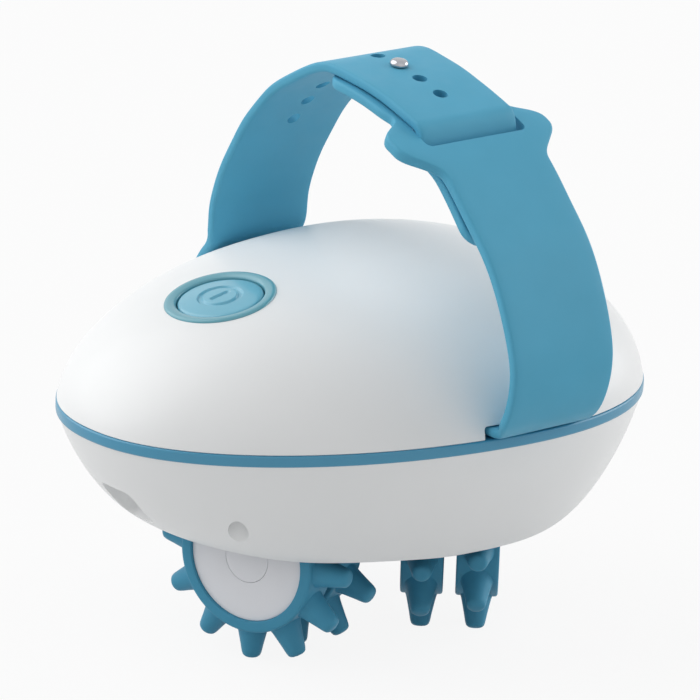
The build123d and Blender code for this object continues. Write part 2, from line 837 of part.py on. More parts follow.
with BuildPart() as head_screw:
    add(rod(head_screw_radius, web_foot, shaft_foot + 3 * head_screw_radius))
    add(rod(head_screw_head_radius, web_foot - head_screw_head_height, web_foot))
finish(head_screw, "head_screw")

with BuildPart() as head_cap:
    add(rod(head_cap_radius, column_foot - head_cap_drop, column_foot))
    fillet(head_cap.faces().sort_by(Axis.Z)[0].edges(), head_cap_drop - 1)
    add(rod(head_screw_head_radius + play, column_foot, web_foot - head_screw_head_height - play))
finish(head_cap, "head_cap")

# Rollers: a hub and a spiked tyre, two on each axle, each stopped where the photograph has it
with BuildPart() as spike:
    with BuildSketch(Plane.YZ.offset(tyre_bore + 1)):
        RegularPolygon(spike_base_radius, 8)
    with BuildSketch(Plane.YZ.offset(tip_radius - spike_tip_chamfer)):
        RegularPolygon(spike_tip_radius, 8)
    loft(ruled=True)
    with BuildSketch(Plane.YZ.offset(tip_radius - spike_tip_chamfer)):
        RegularPolygon(spike_tip_radius, 8)
    with BuildSketch(Plane.YZ.offset(tip_radius)):
        RegularPolygon(spike_tip_radius - spike_tip_chamfer, 8)
    loft(ruled=True)

with BuildPart() as tyre:
    with BuildSketch(Plane.XZ):
        with BuildLine():
            Polyline(
                (tyre_bore, -drum_width / 2),
                (drum_radius - drum_edge, -drum_width / 2),
                (drum_radius, drum_edge - drum_width / 2),
                (drum_radius, drum_width / 2 - drum_edge),
                (drum_radius - drum_edge, drum_width / 2),
                (tyre_bore, drum_width / 2),
                close=True,
            )
        make_face()
    revolve(axis=Axis.Z)
    with PolarLocations(0, spikes):
        add(spike.part)


def roller_hub(inner_boss, outer_boss, seat):
    """A hub about its own axis: its disc, a boss each way, and a seat for the axle's cap on the outer one."""
    with BuildPart() as hub:
        with BuildSketch():
            Circle(tyre_bore)
        extrude(amount=face_reach, both=True)
        with BuildSketch(Plane.XY.offset(-inner_boss)):
            Circle(boss_radius)
        extrude(amount=inner_boss + outer_boss)
        with BuildSketch(Plane.XY.offset(-inner_boss)):
            Circle(axle_radius + running)
        extrude(amount=inner_boss + outer_boss, mode=Mode.SUBTRACT)
        if seat > 0:
            with BuildSketch(Plane.XY.offset(face_reach - seat)):
                Circle(cap_radius + play)
            extrude(amount=seat, mode=Mode.SUBTRACT)
    return hub.part


half_gap = play / 3
seat_depth = cap_thickness + axle_head_thickness + play
outer_hub_form = roller_hub(roller_spacing / 2 - half_gap, face_reach, seat_depth)
inner_hub_form = roller_hub(inner_radius - pad_reach - 2 * half_gap, roller_spacing / 2 - half_gap, 0)
for k, angle in enumerate(arm_angles, start=1):
    for place, distance, form, turn in (
        ("outer", outer_radius, outer_hub_form, outer_roller_turn),
        ("inner", inner_radius, inner_hub_form, inner_roller_turn),
    ):
        here = arm_plane(angle, distance)
        with BuildPart() as placed_tyre:
            add(here.location * Rot(0, 0, turn) * tyre.part)
        finish(placed_tyre, f"tyre_{place}_{k}")
        with BuildPart() as placed_hub:
            add(here.location * form)
        finish(placed_hub, f"hub_{place}_{k}")

# Axles with their heads, and the caps over them
cap_face = outer_radius + face_reach
cap_back = cap_face - cap_thickness
head_back = cap_back - axle_head_thickness
for k, angle in enumerate(arm_angles, start=1):
    with BuildPart() as axle:
        add(arm_rod(angle, axle_radius, axle_root, head_back))
        add(arm_rod(angle, axle_head_radius, head_back, cap_back))
    finish(axle, f"axle_{k}")
    with BuildPart() as axle_cap:
        add(arm_rod(angle, cap_radius, head_back, cap_face))
        add(arm_rod(angle, axle_head_radius, head_back, cap_back), mode=Mode.SUBTRACT)
    finish(axle_cap, f"axle_cap_{k}")


# Strap: two soft strips, each drawn as its middle line, thickened and given its width


def strip_face(middle, thickness):
    """The strip's section in the plane across the housing, from evenly spaced stations on its middle line."""
    curve = Spline(*middle)
    count = 4 * len(middle)
    one_side = []
    other_side = []
    for k in range(count + 1):
        share = k / count
        point = curve.position_at(share)
        along = curve.tangent_at(share)
        across = Vector(-along.Y, along.X)
        one_side.append(point + across * thickness / 2)
        other_side.append(point - across * thickness / 2)
    with BuildSketch(Plane.YZ) as face:
        with BuildLine():
            Spline(*one_side)
            Line(one_side[-1], other_side[-1])
            Spline(*reversed(other_side))
            Line(other_side[0], one_side[0])
        make_face()
    return face.sketch


def raised(line):
    """A strap line with its heights measured from the rest plane."""
    return [(across, seam_height + rise) for across, rise in line]


loop_middle = raised(loop_half_line)
loop_curve = Spline(*loop_middle)


def share_at(across):
    """Share of the loop half's length at which its middle line reaches a place across the housing."""
    low, high = 0.25, 1.0
    for _ in range(40):
        middle = (low + high) / 2
        if loop_curve.position_at(middle).X < across:
            low = middle
        else:
            high = middle
    return low


def beside_loop(share, offset):
    """A point beside the loop half's middle line, outward for a positive offset."""
    point = loop_curve.position_at(share)
    along = loop_curve.tangent_at(share)
    return (point.X - along.Y * offset, point.Y + along.X * offset)


near_share = share_at(loop_near)
far_share = share_at(loop_far)
tail_share = share_at(tail_end)
stud_share = share_at(stud_y)

# The hole half lies under the loop half up to the slot, crosses it there, and lies over the tongue beyond
under_count = 3
cross_count = 6
over_count = 4
hole_middle = []
for k in range(under_count):
    share = tail_share + (near_share - tail_share) * k / under_count
    hole_middle.append(beside_loop(share, -layer_step))
for k in range(cross_count + 1):
    part = k / cross_count
    share = near_share + (far_share - near_share) * part
    hole_middle.append(beside_loop(share, -layer_step * cos(pi * part)))
for k in range(1, over_count + 1):
    share = far_share + (1.0 - far_share) * k / over_count
    hole_middle.append(beside_loop(share, layer_step))
hole_middle += raised(hole_half_line)
hole_curve = Spline(*hole_middle)
hole_length = hole_curve.length


def strap_strip(face, width):
    """A strip of one width about the strap's middle plane."""
    with BuildPart() as strip:
        extrude(face, amount=width / 2, dir=(1, 0, 0), both=True)
    return Pos(strap_centre, 0, 0) * strip.part


with BuildPart() as strap_taper:
    with BuildSketch(Plane.XZ):
        with BuildLine():
            Polyline(
                (strap_centre - strap_base_width / 2, seam_height - wall),
                (strap_centre + strap_base_width / 2, seam_height - wall),
                (strap_centre + strap_base_width / 2, seam_height),
                (strap_centre + strap_top_width / 2, seam_height + strap_top_height),
                (strap_centre + strap_top_width / 2, seam_height + strap_top_height + reach),
                (strap_centre - strap_top_width / 2, seam_height + strap_top_height + reach),
                (strap_centre - strap_top_width / 2, seam_height + strap_top_height),
                (strap_centre - strap_base_width / 2, seam_height),
                close=True,
            )
        make_face()
    extrude(amount=2 * half_width, both=True)


def across_strap_plane(curve, share):
    """Plane on a strap's middle line: x across the strap, y along it, z out of its face."""
    point = curve.position_at(share)
    along = curve.tangent_at(share)
    return Plane(
        origin=(strap_centre, point.X, point.Y),
        x_dir=(-1, 0, 0),
        z_dir=(0, -along.Y, along.X),
    )


def bead(side):
    """The thick end of a strap half, moulded round its anchor pin."""
    with BuildPart() as end:
        with BuildSketch(Plane.YZ.offset(strap_centre - strap_base_width / 2)):
            with Locations((side * anchor_y, seam_height + anchor_height)):
                Circle(bead_radius)
        extrude(amount=strap_base_width)
    return end.part


def pin_hole(side):
    """The hole for the anchor pin."""
    with BuildPart() as hole:
        with BuildSketch(Plane.YZ.offset(strap_centre - strap_base_width)):
            with Locations((side * anchor_y, seam_height + anchor_height)):
                Circle(anchor_pin_radius)
        extrude(amount=2 * strap_base_width)
    return hole.part


loop_plane = across_strap_plane(loop_curve, (near_share + far_share) / 2)
slot_length = (far_share - near_share) * loop_curve.length
with BuildPart() as loop_frame:
    add(strap_strip(strip_face(loop_middle, strap_thickness), 2 * loop_width))
    with BuildSketch(loop_plane.offset(-reach / 4)) as outline:
        with BuildLine():
            Polyline(
                (loop_width / 2, -loop_flat_far),
                (loop_width / 2, loop_flat_near),
                (strap_top_width / 2 - 1, loop_run_near),
                (1 - strap_top_width / 2, loop_run_near),
                (-loop_width / 2, loop_flat_near),
                (-loop_width / 2, -loop_flat_far),
                (1 - strap_top_width / 2, -loop_run_far),
                (strap_top_width / 2 - 1, -loop_run_far),
                close=True,
            )
        make_face()
        fillet(outline.vertices(), 2.5)
    extrude(amount=reach / 2, mode=Mode.INTERSECT)

with BuildPart() as strap_loop_half:
    add(strap_strip(strip_face(loop_middle, strap_thickness), 2 * loop_width))
    add(strap_taper.part, mode=Mode.INTERSECT)
    add(bead(-1))
    with BuildSketch(Plane.XY.offset(loop_middle[-1][1] - strap_top_width)):
        with Locations((strap_centre, loop_middle[-1][0])):
            Rectangle(loop_width, 2 * tongue_corner)
        with Locations((strap_centre, loop_middle[-1][0] - half_width / 2)):
            RectangleRounded(strap_top_width, half_width, tongue_corner, mode=Mode.SUBTRACT)
    extrude(amount=2 * strap_top_width, mode=Mode.SUBTRACT)
    add(loop_frame.part)
    with BuildSketch(loop_plane.offset(-reach / 4)):
        Rectangle(strap_top_width + 2 * slot_side_gap, slot_length)
    extrude(amount=reach / 2, mode=Mode.SUBTRACT)
    with BuildSketch(across_strap_plane(loop_curve, stud_share).offset(-reach / 8)):
        Circle(stud_neck_radius)
    extrude(amount=reach / 4, mode=Mode.SUBTRACT)
    add(pin_hole(-1), mode=Mode.SUBTRACT)
finish(strap_loop_half, "strap_loop_half")


def hole_share_at(across):
    """Share of the hole half's length over a place on the tongue."""
    low, high = 0.0, 0.6
    for _ in range(40):
        middle = (low + high) / 2
        if hole_curve.position_at(middle).X < across:
            low = middle
        else:
            high = middle
    return low


stud_hole_share = hole_share_at(beside_loop(stud_share, layer_step)[0])
with BuildPart() as end_taper:
    with BuildSketch(Plane.XY.offset(seam_height - reach)):
        with BuildLine():
            Polyline(
                (strap_centre - reach, 2 * half_width),
                (strap_centre - reach, end_narrow_from),
                (strap_centre - strap_top_width / 2, end_narrow_from),
                (strap_centre - end_left, end_narrow_to),
                (strap_centre - end_left, -2 * half_width),
                (strap_centre + end_right, -2 * half_width),
                (strap_centre + end_right, end_narrow_to),
                (strap_centre + strap_top_width / 2, end_narrow_from),
                (strap_centre + reach, end_narrow_from),
                (strap_centre + reach, 2 * half_width),
                close=True,
            )
        make_face()
    extrude(amount=4 * reach)
with BuildPart() as strap_hole_half:
    add(strap_strip(strip_face(hole_middle, strap_thickness), 2 * loop_width))
    add(strap_taper.part, mode=Mode.INTERSECT)
    add(end_taper.part, mode=Mode.INTERSECT)
    add(bead(1))
    for k in range(-holes_before, holes_after + 1):
        share = stud_hole_share + k * hole_spacing / hole_length
        with BuildSketch(across_strap_plane(hole_curve, share).offset(-reach / 8)):
            Circle(hole_radius)
        extrude(amount=reach / 4, mode=Mode.SUBTRACT)
    add(pin_hole(1), mode=Mode.SUBTRACT)
finish(strap_hole_half, "strap_hole_half")

# Stud: its foot under the tongue, its neck through both layers and its domed head on top
stud_plane = across_strap_plane(loop_curve, stud_share)
stud_top = 1.5 * strap_thickness + layer_gap
with BuildPart() as strap_stud:
    with BuildSketch(stud_plane.offset(-strap_thickness / 2 - stud_play)):
        Circle(stud_foot_radius)
    extrude(amount=-stud_foot_thickness)
    with BuildSketch(stud_plane.offset(-strap_thickness / 2 - stud_play)):
        Circle(stud_neck_radius)
    extrude(amount=strap_thickness / 2 + stud_play + stud_top)
    with BuildSketch(stud_plane.offset(stud_top)):
        Circle(stud_head_radius)
    extrude(amount=stud_head_height)
    fillet(strap_stud.faces().sort_by(Axis.Z)[-1].edges(), stud_head_height * 0.75)
finish(strap_stud, "strap_stud")

with BuildPart() as strap_anchor_pins:
    pin_length = strap_base_width + 2 * (lug_gap + lug_thickness)
    with BuildSketch(Plane.YZ.offset(strap_centre - pin_length / 2)):
        with Locations((anchor_y, seam_height + anchor_height), (-anchor_y, seam_height + anchor_height)):
            Circle(anchor_pin_radius)
    extrude(amount=pin_length)
finish(strap_anchor_pins, "strap_anchor_pins")
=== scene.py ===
import json
import math

import bmesh
import bpy
import numpy as np
from mathutils import Matrix, Vector


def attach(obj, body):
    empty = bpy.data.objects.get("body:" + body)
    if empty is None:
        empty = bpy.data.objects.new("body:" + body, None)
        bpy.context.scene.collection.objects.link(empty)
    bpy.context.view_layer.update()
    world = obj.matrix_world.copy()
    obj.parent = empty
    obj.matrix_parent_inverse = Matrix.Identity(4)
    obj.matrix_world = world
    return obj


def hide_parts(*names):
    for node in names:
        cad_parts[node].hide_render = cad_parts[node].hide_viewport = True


# Looks of the massager. Every piece that shows is built here as a fine smooth mesh on the curves of the solids,
# with small departures that follow the photograph. Millimetres, until a piece becomes a mesh in metres.

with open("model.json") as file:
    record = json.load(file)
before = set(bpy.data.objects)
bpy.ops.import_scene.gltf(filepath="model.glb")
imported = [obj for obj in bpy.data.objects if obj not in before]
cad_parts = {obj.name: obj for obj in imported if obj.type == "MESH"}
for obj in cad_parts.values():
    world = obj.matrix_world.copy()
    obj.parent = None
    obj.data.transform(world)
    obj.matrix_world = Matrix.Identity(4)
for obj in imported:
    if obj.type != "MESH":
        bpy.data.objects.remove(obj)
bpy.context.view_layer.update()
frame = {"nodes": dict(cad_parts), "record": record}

# Housing, sizes shared with the solids
A, B, PLAN, EGG = 74.0, 57.0, 2.17, 0.18
SEAM = 60.0
RISE, EDGE, CROWN, TOP_X = 30.7, 3.12, 1.74, 13.9
DROP, FOOT_X, FOOT_Y, FOOT_SHIFT, BOWL_EDGE, BOWL_FLOOR = 30.0, 0.61, 0.81, 1.65, 1.85, 1.24
UPPER, LOWER = 61.25, 58.75
WALL = 2.5
WELL, ROOF = 46.0, 56.0
SCREW_X, SCREW_Y, SCREW_WELL = 50.8, 27.0, 2.4
RECESS_LEAN, RECESS_X, RECESS_Z, RECESS_WIDTH, RECESS_LENGTH = 40.0, -62.3, 41.0, 11.6, 12.6

# Head and rollers: each roller's name, its distance out and its turn on each arm
AXLE_Z = 26.0
ARMS = (199.0, 319.0, 79.0)
ROLLERS = (("outer", 34.6, (-1.4, 4.0, 0.0)), ("inner", 21.4, (9.0, 11.9, 10.2)))
SPIKES = 12

# Button, and the sign pressed into it: a ring and a bar
BUTTON_X = -37.0
SIGN_RING, SIGN_BAR, SIGN_HALF, SIGN_SOFT, SIGN_DEPTH = 4.7, 2.1, 0.56, 0.42, 0.5

# Strap
STRAP_X, STRAP_BASE, STRAP_TOP, STRAP_TOP_Z = 9.9, 28.9, 31.0, 137.0
STRAP_T, LAYER, BEAD = 2.4, 2.7, 2.2
ANCHOR_Y, ANCHOR_Z = 50.2, 62.75
HOLE_RADIUS, HOLE_STEP = 1.8, 7.7
STUD_Y = -5.9

# Camera
CAMERA_AZIMUTH, FRAME_PX = -39.45, 700

# Departures from the solids that follow the photograph
WINDOW_WIDTH, WINDOW_RISE, WINDOW_SHIFT = 28.2, 3.2, 1.4
FOOT_HANG, HANG_AZIMUTH, HANG_REACH = 1.15, 125.0, 52.0
TRIM_DROP = 0.3
LOOP_LEFT, LOOP_RIGHT, LOOP_NEAR, LOOP_FAR, TAIL_END = 23.2, 23.1, -34.3, -25.5, -53.0
LOOP_LEAD, LOOP_RAMP, LOOP_SOFT = 11.6, 6.6, 1.6
TONGUE_LEFT, TONGUE_RIGHT, TAIL_LEFT, TAIL_RIGHT = 1.2, 0.6, 14.9, 13.7
SLOT_WIDTH, SLOT_SHARE = 29.8, 0.8
HOLE_X = -0.7


# Meshes


def blend_step(value, low, high):
    s = float(np.clip((value - low) / (high - low), 0, 1))
    return s * s * (3 - 2 * s)


def new_object(name, vertices, faces, sharp=35.0):
    """A mesh object from millimetre points, smooth but for edges sharper than an angle."""
    mesh = bpy.data.meshes.new(name)
    mesh.from_pydata([tuple(v) for v in np.asarray(vertices, float) * 0.001], [], faces)
    mesh.validate()
    shell = bmesh.new()
    shell.from_mesh(mesh)
    bmesh.ops.remove_doubles(shell, verts=shell.verts, dist=1e-7)
    bmesh.ops.recalc_face_normals(shell, faces=shell.faces)
    shell.to_mesh(mesh)
    shell.free()
    obj = bpy.data.objects.new(name, mesh)
    bpy.context.scene.collection.objects.link(obj)
    smooth(obj, sharp)
    return obj


def smooth(obj, sharp):
    mesh = obj.data
    mesh.polygons.foreach_set("use_smooth", [True] * len(mesh.polygons))
    mesh.set_sharp_from_angle(angle=math.radians(sharp))
    mesh.update()


def grid_faces(rings, count, start=0):
    """Quads between rings of the same count of vertices."""
    faces = []
    for i in range(rings - 1):
        for j in range(count):
            k = (j + 1) % count
            a = start + i * count
            faces.append((a + j, a + k, a + count + k, a + count + j))
    return faces


def stack(name, rings, loop=False, sharp=35.0):
    """A skin over rings of points, its ends filled with a fan, or its last ring joined to its first."""
    count = len(rings[0])
    vertices = [p for ring in rings for p in ring]
    faces = grid_faces(len(rings), count)
    if loop:
        base = (len(rings) - 1) * count
        faces += [(base + j, base + (j + 1) % count, (j + 1) % count, j) for j in range(count)]
    else:
        for end in (0, len(rings) - 1):
            vertices.append(np.mean(rings[end], axis=0))
            n = len(vertices) - 1
            base = end * count
            faces += [(n, base + j, base + (j + 1) % count) for j in range(count)]
    return new_object(name, vertices, faces, sharp)


def turned(name, profile, place, segments=96, sharp=35.0):
    """A turned form on a profile of (radius, height) pairs, put in place by a function of radius, turn and
    height."""
    turns = np.linspace(0, 2 * math.pi, segments, endpoint=False)
    rings = [place(r, turns, h) for r, h in profile]
    vertices, faces, index = [], [], []
    for (r, _), ring in zip(profile, rings):
        index.append(len(vertices))
        vertices += [ring[0]] if r < 1e-6 else list(ring)
    for i in range(len(profile) - 1):
        a, b = index[i], index[i + 1]
        for j in range(segments):
            k = (j + 1) % segments
            if profile[i][0] < 1e-6:
                faces.append((a, b + k, b + j))
            elif profile[i + 1][0] < 1e-6:
                faces.append((a + j, a + k, b))
            else:
                faces.append((a + j, a + k, b + k, b + j))
    return new_object(name, vertices, faces, sharp)


def about(origin, across, along, normal):
    """Places (radius, turns, height) in a frame of its own."""
    def place(r, turn, height):
        return (origin + np.outer(r * np.cos(turn), across) + np.outer(r * np.sin(turn), along)
                + height * normal)

    return place


def cut(obj, cutters, sharp=35.0):
    """Takes the cutters' volume out of obj."""
    for cutter in cutters:
        change = obj.modifiers.new("cut", "BOOLEAN")
        change.operation = "DIFFERENCE"
        change.solver = "EXACT"
        change.object = cutter
    bpy.context.view_layer.update()
    depsgraph = bpy.context.evaluated_depsgraph_get()
    mesh = bpy.data.meshes.new_from_object(obj.evaluated_get(depsgraph))
    obj.modifiers.clear()
    obj.data = mesh
    for cutter in cutters:
        bpy.data.objects.remove(cutter)
    smooth(obj, sharp)


def joined(name, parts, sharp=35.0):
    """One object from several."""
    shell = bmesh.new()
    for part in parts:
        shell.from_mesh(part.data)
        bpy.data.objects.remove(part)
    mesh = bpy.data.meshes.new(name)
    shell.to_mesh(mesh)
    shell.free()
    obj = bpy.data.objects.new(name, mesh)
    bpy.context.scene.collection.objects.link(obj)
    smooth(obj, sharp)
    return obj


def keep(obj, body, slot, material, *nodes):
    """Puts a finished piece on its body in place of CAD nodes, with its material."""
    obj.data.materials.clear()
    obj.data.materials.append(material)
    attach(obj, body)
    if nodes:
        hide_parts(*nodes)


# Housing curves

TURNS = np.linspace(0, 2 * math.pi, 256, endpoint=False)
ALONG = np.sign(np.cos(TURNS)) * np.abs(np.cos(TURNS)) ** (2 / PLAN)
ACROSS = np.sign(np.sin(TURNS)) * np.abs(np.sin(TURNS)) ** (2 / PLAN)


def ring(share_x, share_y, shift, height, grow=0.0):
    x = ALONG * (A + grow) * share_x + shift
    y = ACROSS * (B + grow) * (1 + EGG * ALONG) * share_y
    return np.stack([x, y, np.full_like(x, height)], axis=1)


def dome_ring(share, grow=0.0):
    height = SEAM + (RISE + grow) * max(1 - share**EDGE, 0.0) ** (1 / CROWN)
    return ring(share, share, TOP_X * (1 - share), height, grow)


def dome_edge(height, grow=0.0):
    """Share of the plan at which the dome stands at a height over the seam."""
    return (1 - (height / (RISE + grow)) ** CROWN) ** (1 / EDGE)


def dome_rings(grow):
    low = math.acos(dome_edge(UPPER - SEAM, grow) ** (EDGE / 2))
    steep = [math.cos(t) ** (2 / EDGE) for t in np.linspace(low, math.radians(74), 46)]
    return [dome_ring(s, grow) for s in steep + list(np.linspace(steep[-1], 0.0, 26))[1:-1]]


def dome_height(x, y):
    """Height of the dome's surface over places inside its plan."""
    x, y = np.asarray(x, float), np.asarray(y, float)
    low, high = np.full(x.shape, 1e-4), np.full(x.shape, 1.0)
    for _ in range(46):
        share = (low + high) / 2
        along = (x - TOP_X * (1 - share)) / (A * share)
        across = y / (B * share * np.maximum(1 + EGG * along, 0.05))
        outside = np.abs(along) ** PLAN + np.abs(across) ** PLAN > 1
        low, high = np.where(outside, share, low), np.where(outside, high, share)
    return SEAM + RISE * (1 - share**EDGE) ** (1 / CROWN)


def rounded_outline(width, length, corner, steps=8):
    """Corner-rounded rectangle as points, counter-clockwise."""
    points = []
    for cx, cy, start in ((1, 1, 0), (-1, 1, 90), (-1, -1, 180), (1, -1, 270)):
        for k in range(steps + 1):
            turn = math.radians(start + 90 * k / steps)
            points.append((cx * (width / 2 - corner) + corner * math.cos(turn),
                           cy * (length / 2 - corner) + corner * math.sin(turn)))
    return points


def prism(name, outline, origin, across, along, normal, low, high):
    """A prism on an outline, in a frame of its own."""
    origin, across, along, normal = (np.array(v, float) for v in (origin, across, along, normal))
    flat = [origin + across * u + along * v for u, v in outline]
    return stack(name, [np.array(flat) + normal * low, np.array(flat) + normal * high])


# Materials: each has fine colour variation, a roughness map and a bump of its own scale


def nodes_of(name):
    material = bpy.data.materials.new(name)
    material.use_nodes = True
    tree = material.node_tree
    shader = tree.nodes["Principled BSDF"]
    return material, tree, shader


def noise(tree, scale, detail=4.0, rough=0.55, stretch=None):
    coords = tree.nodes.new("ShaderNodeTexCoord")
    source = coords.outputs["Object"]
    if stretch is not None:
        mapping = tree.nodes.new("ShaderNodeMapping")
        mapping.inputs["Scale"].default_value = stretch
        tree.links.new(source, mapping.inputs["Vector"])
        source = mapping.outputs["Vector"]
    texture = tree.nodes.new("ShaderNodeTexNoise")
    texture.inputs["Scale"].default_value = scale
    texture.inputs["Detail"].default_value = detail
    texture.inputs["Roughness"].default_value = rough
    tree.links.new(source, texture.inputs["Vector"])
    return texture.outputs["Fac"]


def ranged(tree, value, low, high):
    node = tree.nodes.new("ShaderNodeMapRange")
    node.inputs["From Min"].default_value = 0.25
    node.inputs["From Max"].default_value = 0.75
    node.inputs["To Min"].default_value = low
    node.inputs["To Max"].default_value = high
    tree.links.new(value, node.inputs["Value"])
    return node.outputs["Result"]


def linear(rgb):
    """Linear colour from an 8-bit one."""
    return tuple((c / 255 / 12.92) if c / 255 <= 0.04045 else ((c / 255 + 0.055) / 1.055) ** 2.4 for c in rgb)


def tinted(tree, value, dark, light):
    ramp = tree.nodes.new("ShaderNodeValToRGB")
    ramp.color_ramp.elements[0].position = 0.3
    ramp.color_ramp.elements[1].position = 0.7
    ramp.color_ramp.elements[0].color = (*dark, 1)
    ramp.color_ramp.elements[1].color = (*light, 1)
    tree.links.new(value, ramp.inputs["Fac"])
    return ramp.outputs["Color"]


def bumped(tree, shader, heights):
    """Stacks bump maps: (height output, strength, distance in metres)."""
    normal = None
    for height, strength, distance in heights:
        bump = tree.nodes.new("ShaderNodeBump")
        bump.inputs["Strength"].default_value = strength
        bump.inputs["Distance"].default_value = distance
        tree.links.new(height, bump.inputs["Height"])
        if normal is not None:
            tree.links.new(normal, bump.inputs["Normal"])
        normal = bump.outputs["Normal"]
    tree.links.new(normal, shader.inputs["Normal"])


def moulded(name, rgb, spread=0.02, rough=(0.3, 0.38), grain=2600.0, grain_strength=0.02,
            wave_strength=0.04, specular=0.5, coat=0.0, sheen=0.0, soft=0.0):
    """Moulded plastic or rubber: faint mottling, a fine skin grain and very shallow flow waves."""
    material, tree, shader = nodes_of(name)
    colour = np.array(linear(rgb))
    mottle = noise(tree, 60.0, 3.0)
    dark, light = tuple(colour * (1 - spread)), tuple(np.minimum(colour * (1 + spread), 1))
    tree.links.new(tinted(tree, mottle, dark, light), shader.inputs["Base Color"])
    tree.links.new(ranged(tree, noise(tree, 220.0, 5.0), *rough), shader.inputs["Roughness"])
    bumped(tree, shader, [(noise(tree, 45.0, 1.0), wave_strength, 0.0002),
                          (noise(tree, grain, 2.0), grain_strength, 0.00003)])
    shader.inputs["Specular IOR Level"].default_value = specular
    if coat:
        shader.inputs["Coat Weight"].default_value = coat
        shader.inputs["Coat Roughness"].default_value = 0.12
    if sheen:
        shader.inputs["Sheen Weight"].default_value = sheen
        shader.inputs["Sheen Roughness"].default_value = 0.45
    if soft:
        shader.inputs["Subsurface Weight"].default_value = soft
        shader.inputs["Subsurface Radius"].default_value = (0.6, 0.8, 1.0)
        shader.inputs["Subsurface Scale"].default_value = 0.0012
    return material


def metal(name, rgb, rough=(0.22, 0.34), stretch=(1.0, 1.0, 30.0), scale=300.0, strength=0.12):
    """Machined metal with fine directional marks."""
    material, tree, shader = nodes_of(name)
    colour = np.array(linear(rgb))
    marks = noise(tree, scale, 6.0, 0.6, stretch)
    dark, light = tuple(colour * 0.93), tuple(np.minimum(colour * 1.04, 1))
    tree.links.new(tinted(tree, marks, dark, light), shader.inputs["Base Color"])
    tree.links.new(ranged(tree, marks, *rough), shader.inputs["Roughness"])
    shader.inputs["Metallic"].default_value = 1.0
    bumped(tree, shader, [(marks, strength, 0.00002)])
    return material


WHITE = moulded("white_plastic", (241, 242, 242), 0.006, (0.42, 0.5), 500.0, 0.02, 0.04, coat=0.1)
HUB_WHITE = moulded("hub_white", (232, 233, 237), 0.008, (0.38, 0.48), 500.0, 0.03, 0.04)
TRIM = moulded("teal_plastic", (66, 146, 180), 0.02, (0.32, 0.42), 500.0, 0.02, 0.03, coat=0.2)
BUTTON = moulded("button_plastic", (106, 180, 203), 0.02, (0.3, 0.38), 500.0, 0.02, 0.03, coat=0.4)
BEZEL = moulded("bezel_plastic", (92, 161, 177), 0.02, (0.3, 0.38), 500.0, 0.02, 0.03, coat=0.4)
STRAP = moulded("strap_rubber", (85, 167, 198), 0.025, (0.46, 0.58), 3400.0, 0.1, 0.05, 0.22,
                sheen=0.02, soft=0.06)
TYRE = moulded("tyre_rubber", (71, 146, 177), 0.03, (0.44, 0.56), 3400.0, 0.1, 0.05, 0.18, soft=0.06)
FRAME = moulded("frame_plastic", (205, 207, 209), 0.02, (0.5, 0.6), 1800.0, 0.1)
GEAR = moulded("gear_plastic", (226, 219, 200), 0.02, (0.4, 0.5), 1800.0, 0.1)
BLACK = moulded("black_plastic", (22, 22, 24), 0.1, (0.45, 0.6), 1800.0, 0.15)
BOARD = moulded("board", (24, 92, 58), 0.08, (0.32, 0.45), 900.0, 0.15)
STEEL = metal("steel", (190, 193, 196), (0.29, 0.4))
SCREW = metal("screw_steel", (168, 171, 174), (0.3, 0.44), (1.0, 1.0, 1.0), 900.0, 0.2)
STUD = metal("stud_metal", (172, 173, 178), (0.1, 0.16), (1.0, 1.0, 1.0), 1500.0, 0.05)
BRONZE = metal("bronze", (188, 148, 92), (0.29, 0.4))

by_slot = {
    "white_plastic": WHITE, "teal_plastic": TRIM, "button_plastic": BUTTON, "strap_rubber": STRAP,
    "tyre_rubber": TYRE, "frame_plastic": FRAME, "gear_plastic": GEAR, "black_plastic": BLACK, "board": BOARD,
    "steel": STEEL, "screw_steel": SCREW, "stud_metal": STUD, "bronze": BRONZE,
}
for entry in frame["record"]["subparts"]:
    node = frame["nodes"].get(entry["node"])
    if node is not None:
        for k in range(max(len(node.material_slots), 1)):
            if not node.material_slots:
                node.data.materials.append(by_slot[entry["material_slot"]])
            else:
                node.material_slots[k].material = by_slot[entry["material_slot"]]


# Button frame, square to the dome at the button's middle

step = 0.5
rise = dome_height(BUTTON_X + step, 0.0) - dome_height(BUTTON_X - step, 0.0)
tilt = math.atan(float(rise / (2 * step)))
BUTTON_O = np.array([BUTTON_X, 0.0, float(dome_height(BUTTON_X, 0.0))])
BUTTON_U = np.array([math.cos(tilt), 0.0, math.sin(tilt)])
BUTTON_N = np.array([-math.sin(tilt), 0.0, math.cos(tilt)])
in_button = about(BUTTON_O, BUTTON_U, np.array([0.0, 1.0, 0.0]), BUTTON_N)


def on_dome(r, turn, lift):
    """Points of the button's frame, lifted from the dome's own surface along the button's axis."""
    base = in_button(r, turn, 0.0)
    d = np.zeros(len(base))
    for _ in range(7):
        p = base + d[:, None] * BUTTON_N
        d += (dome_height(p[:, 0], p[:, 1]) - p[:, 2]) * math.cos(tilt)
    return base + (d + lift)[:, None] * BUTTON_N


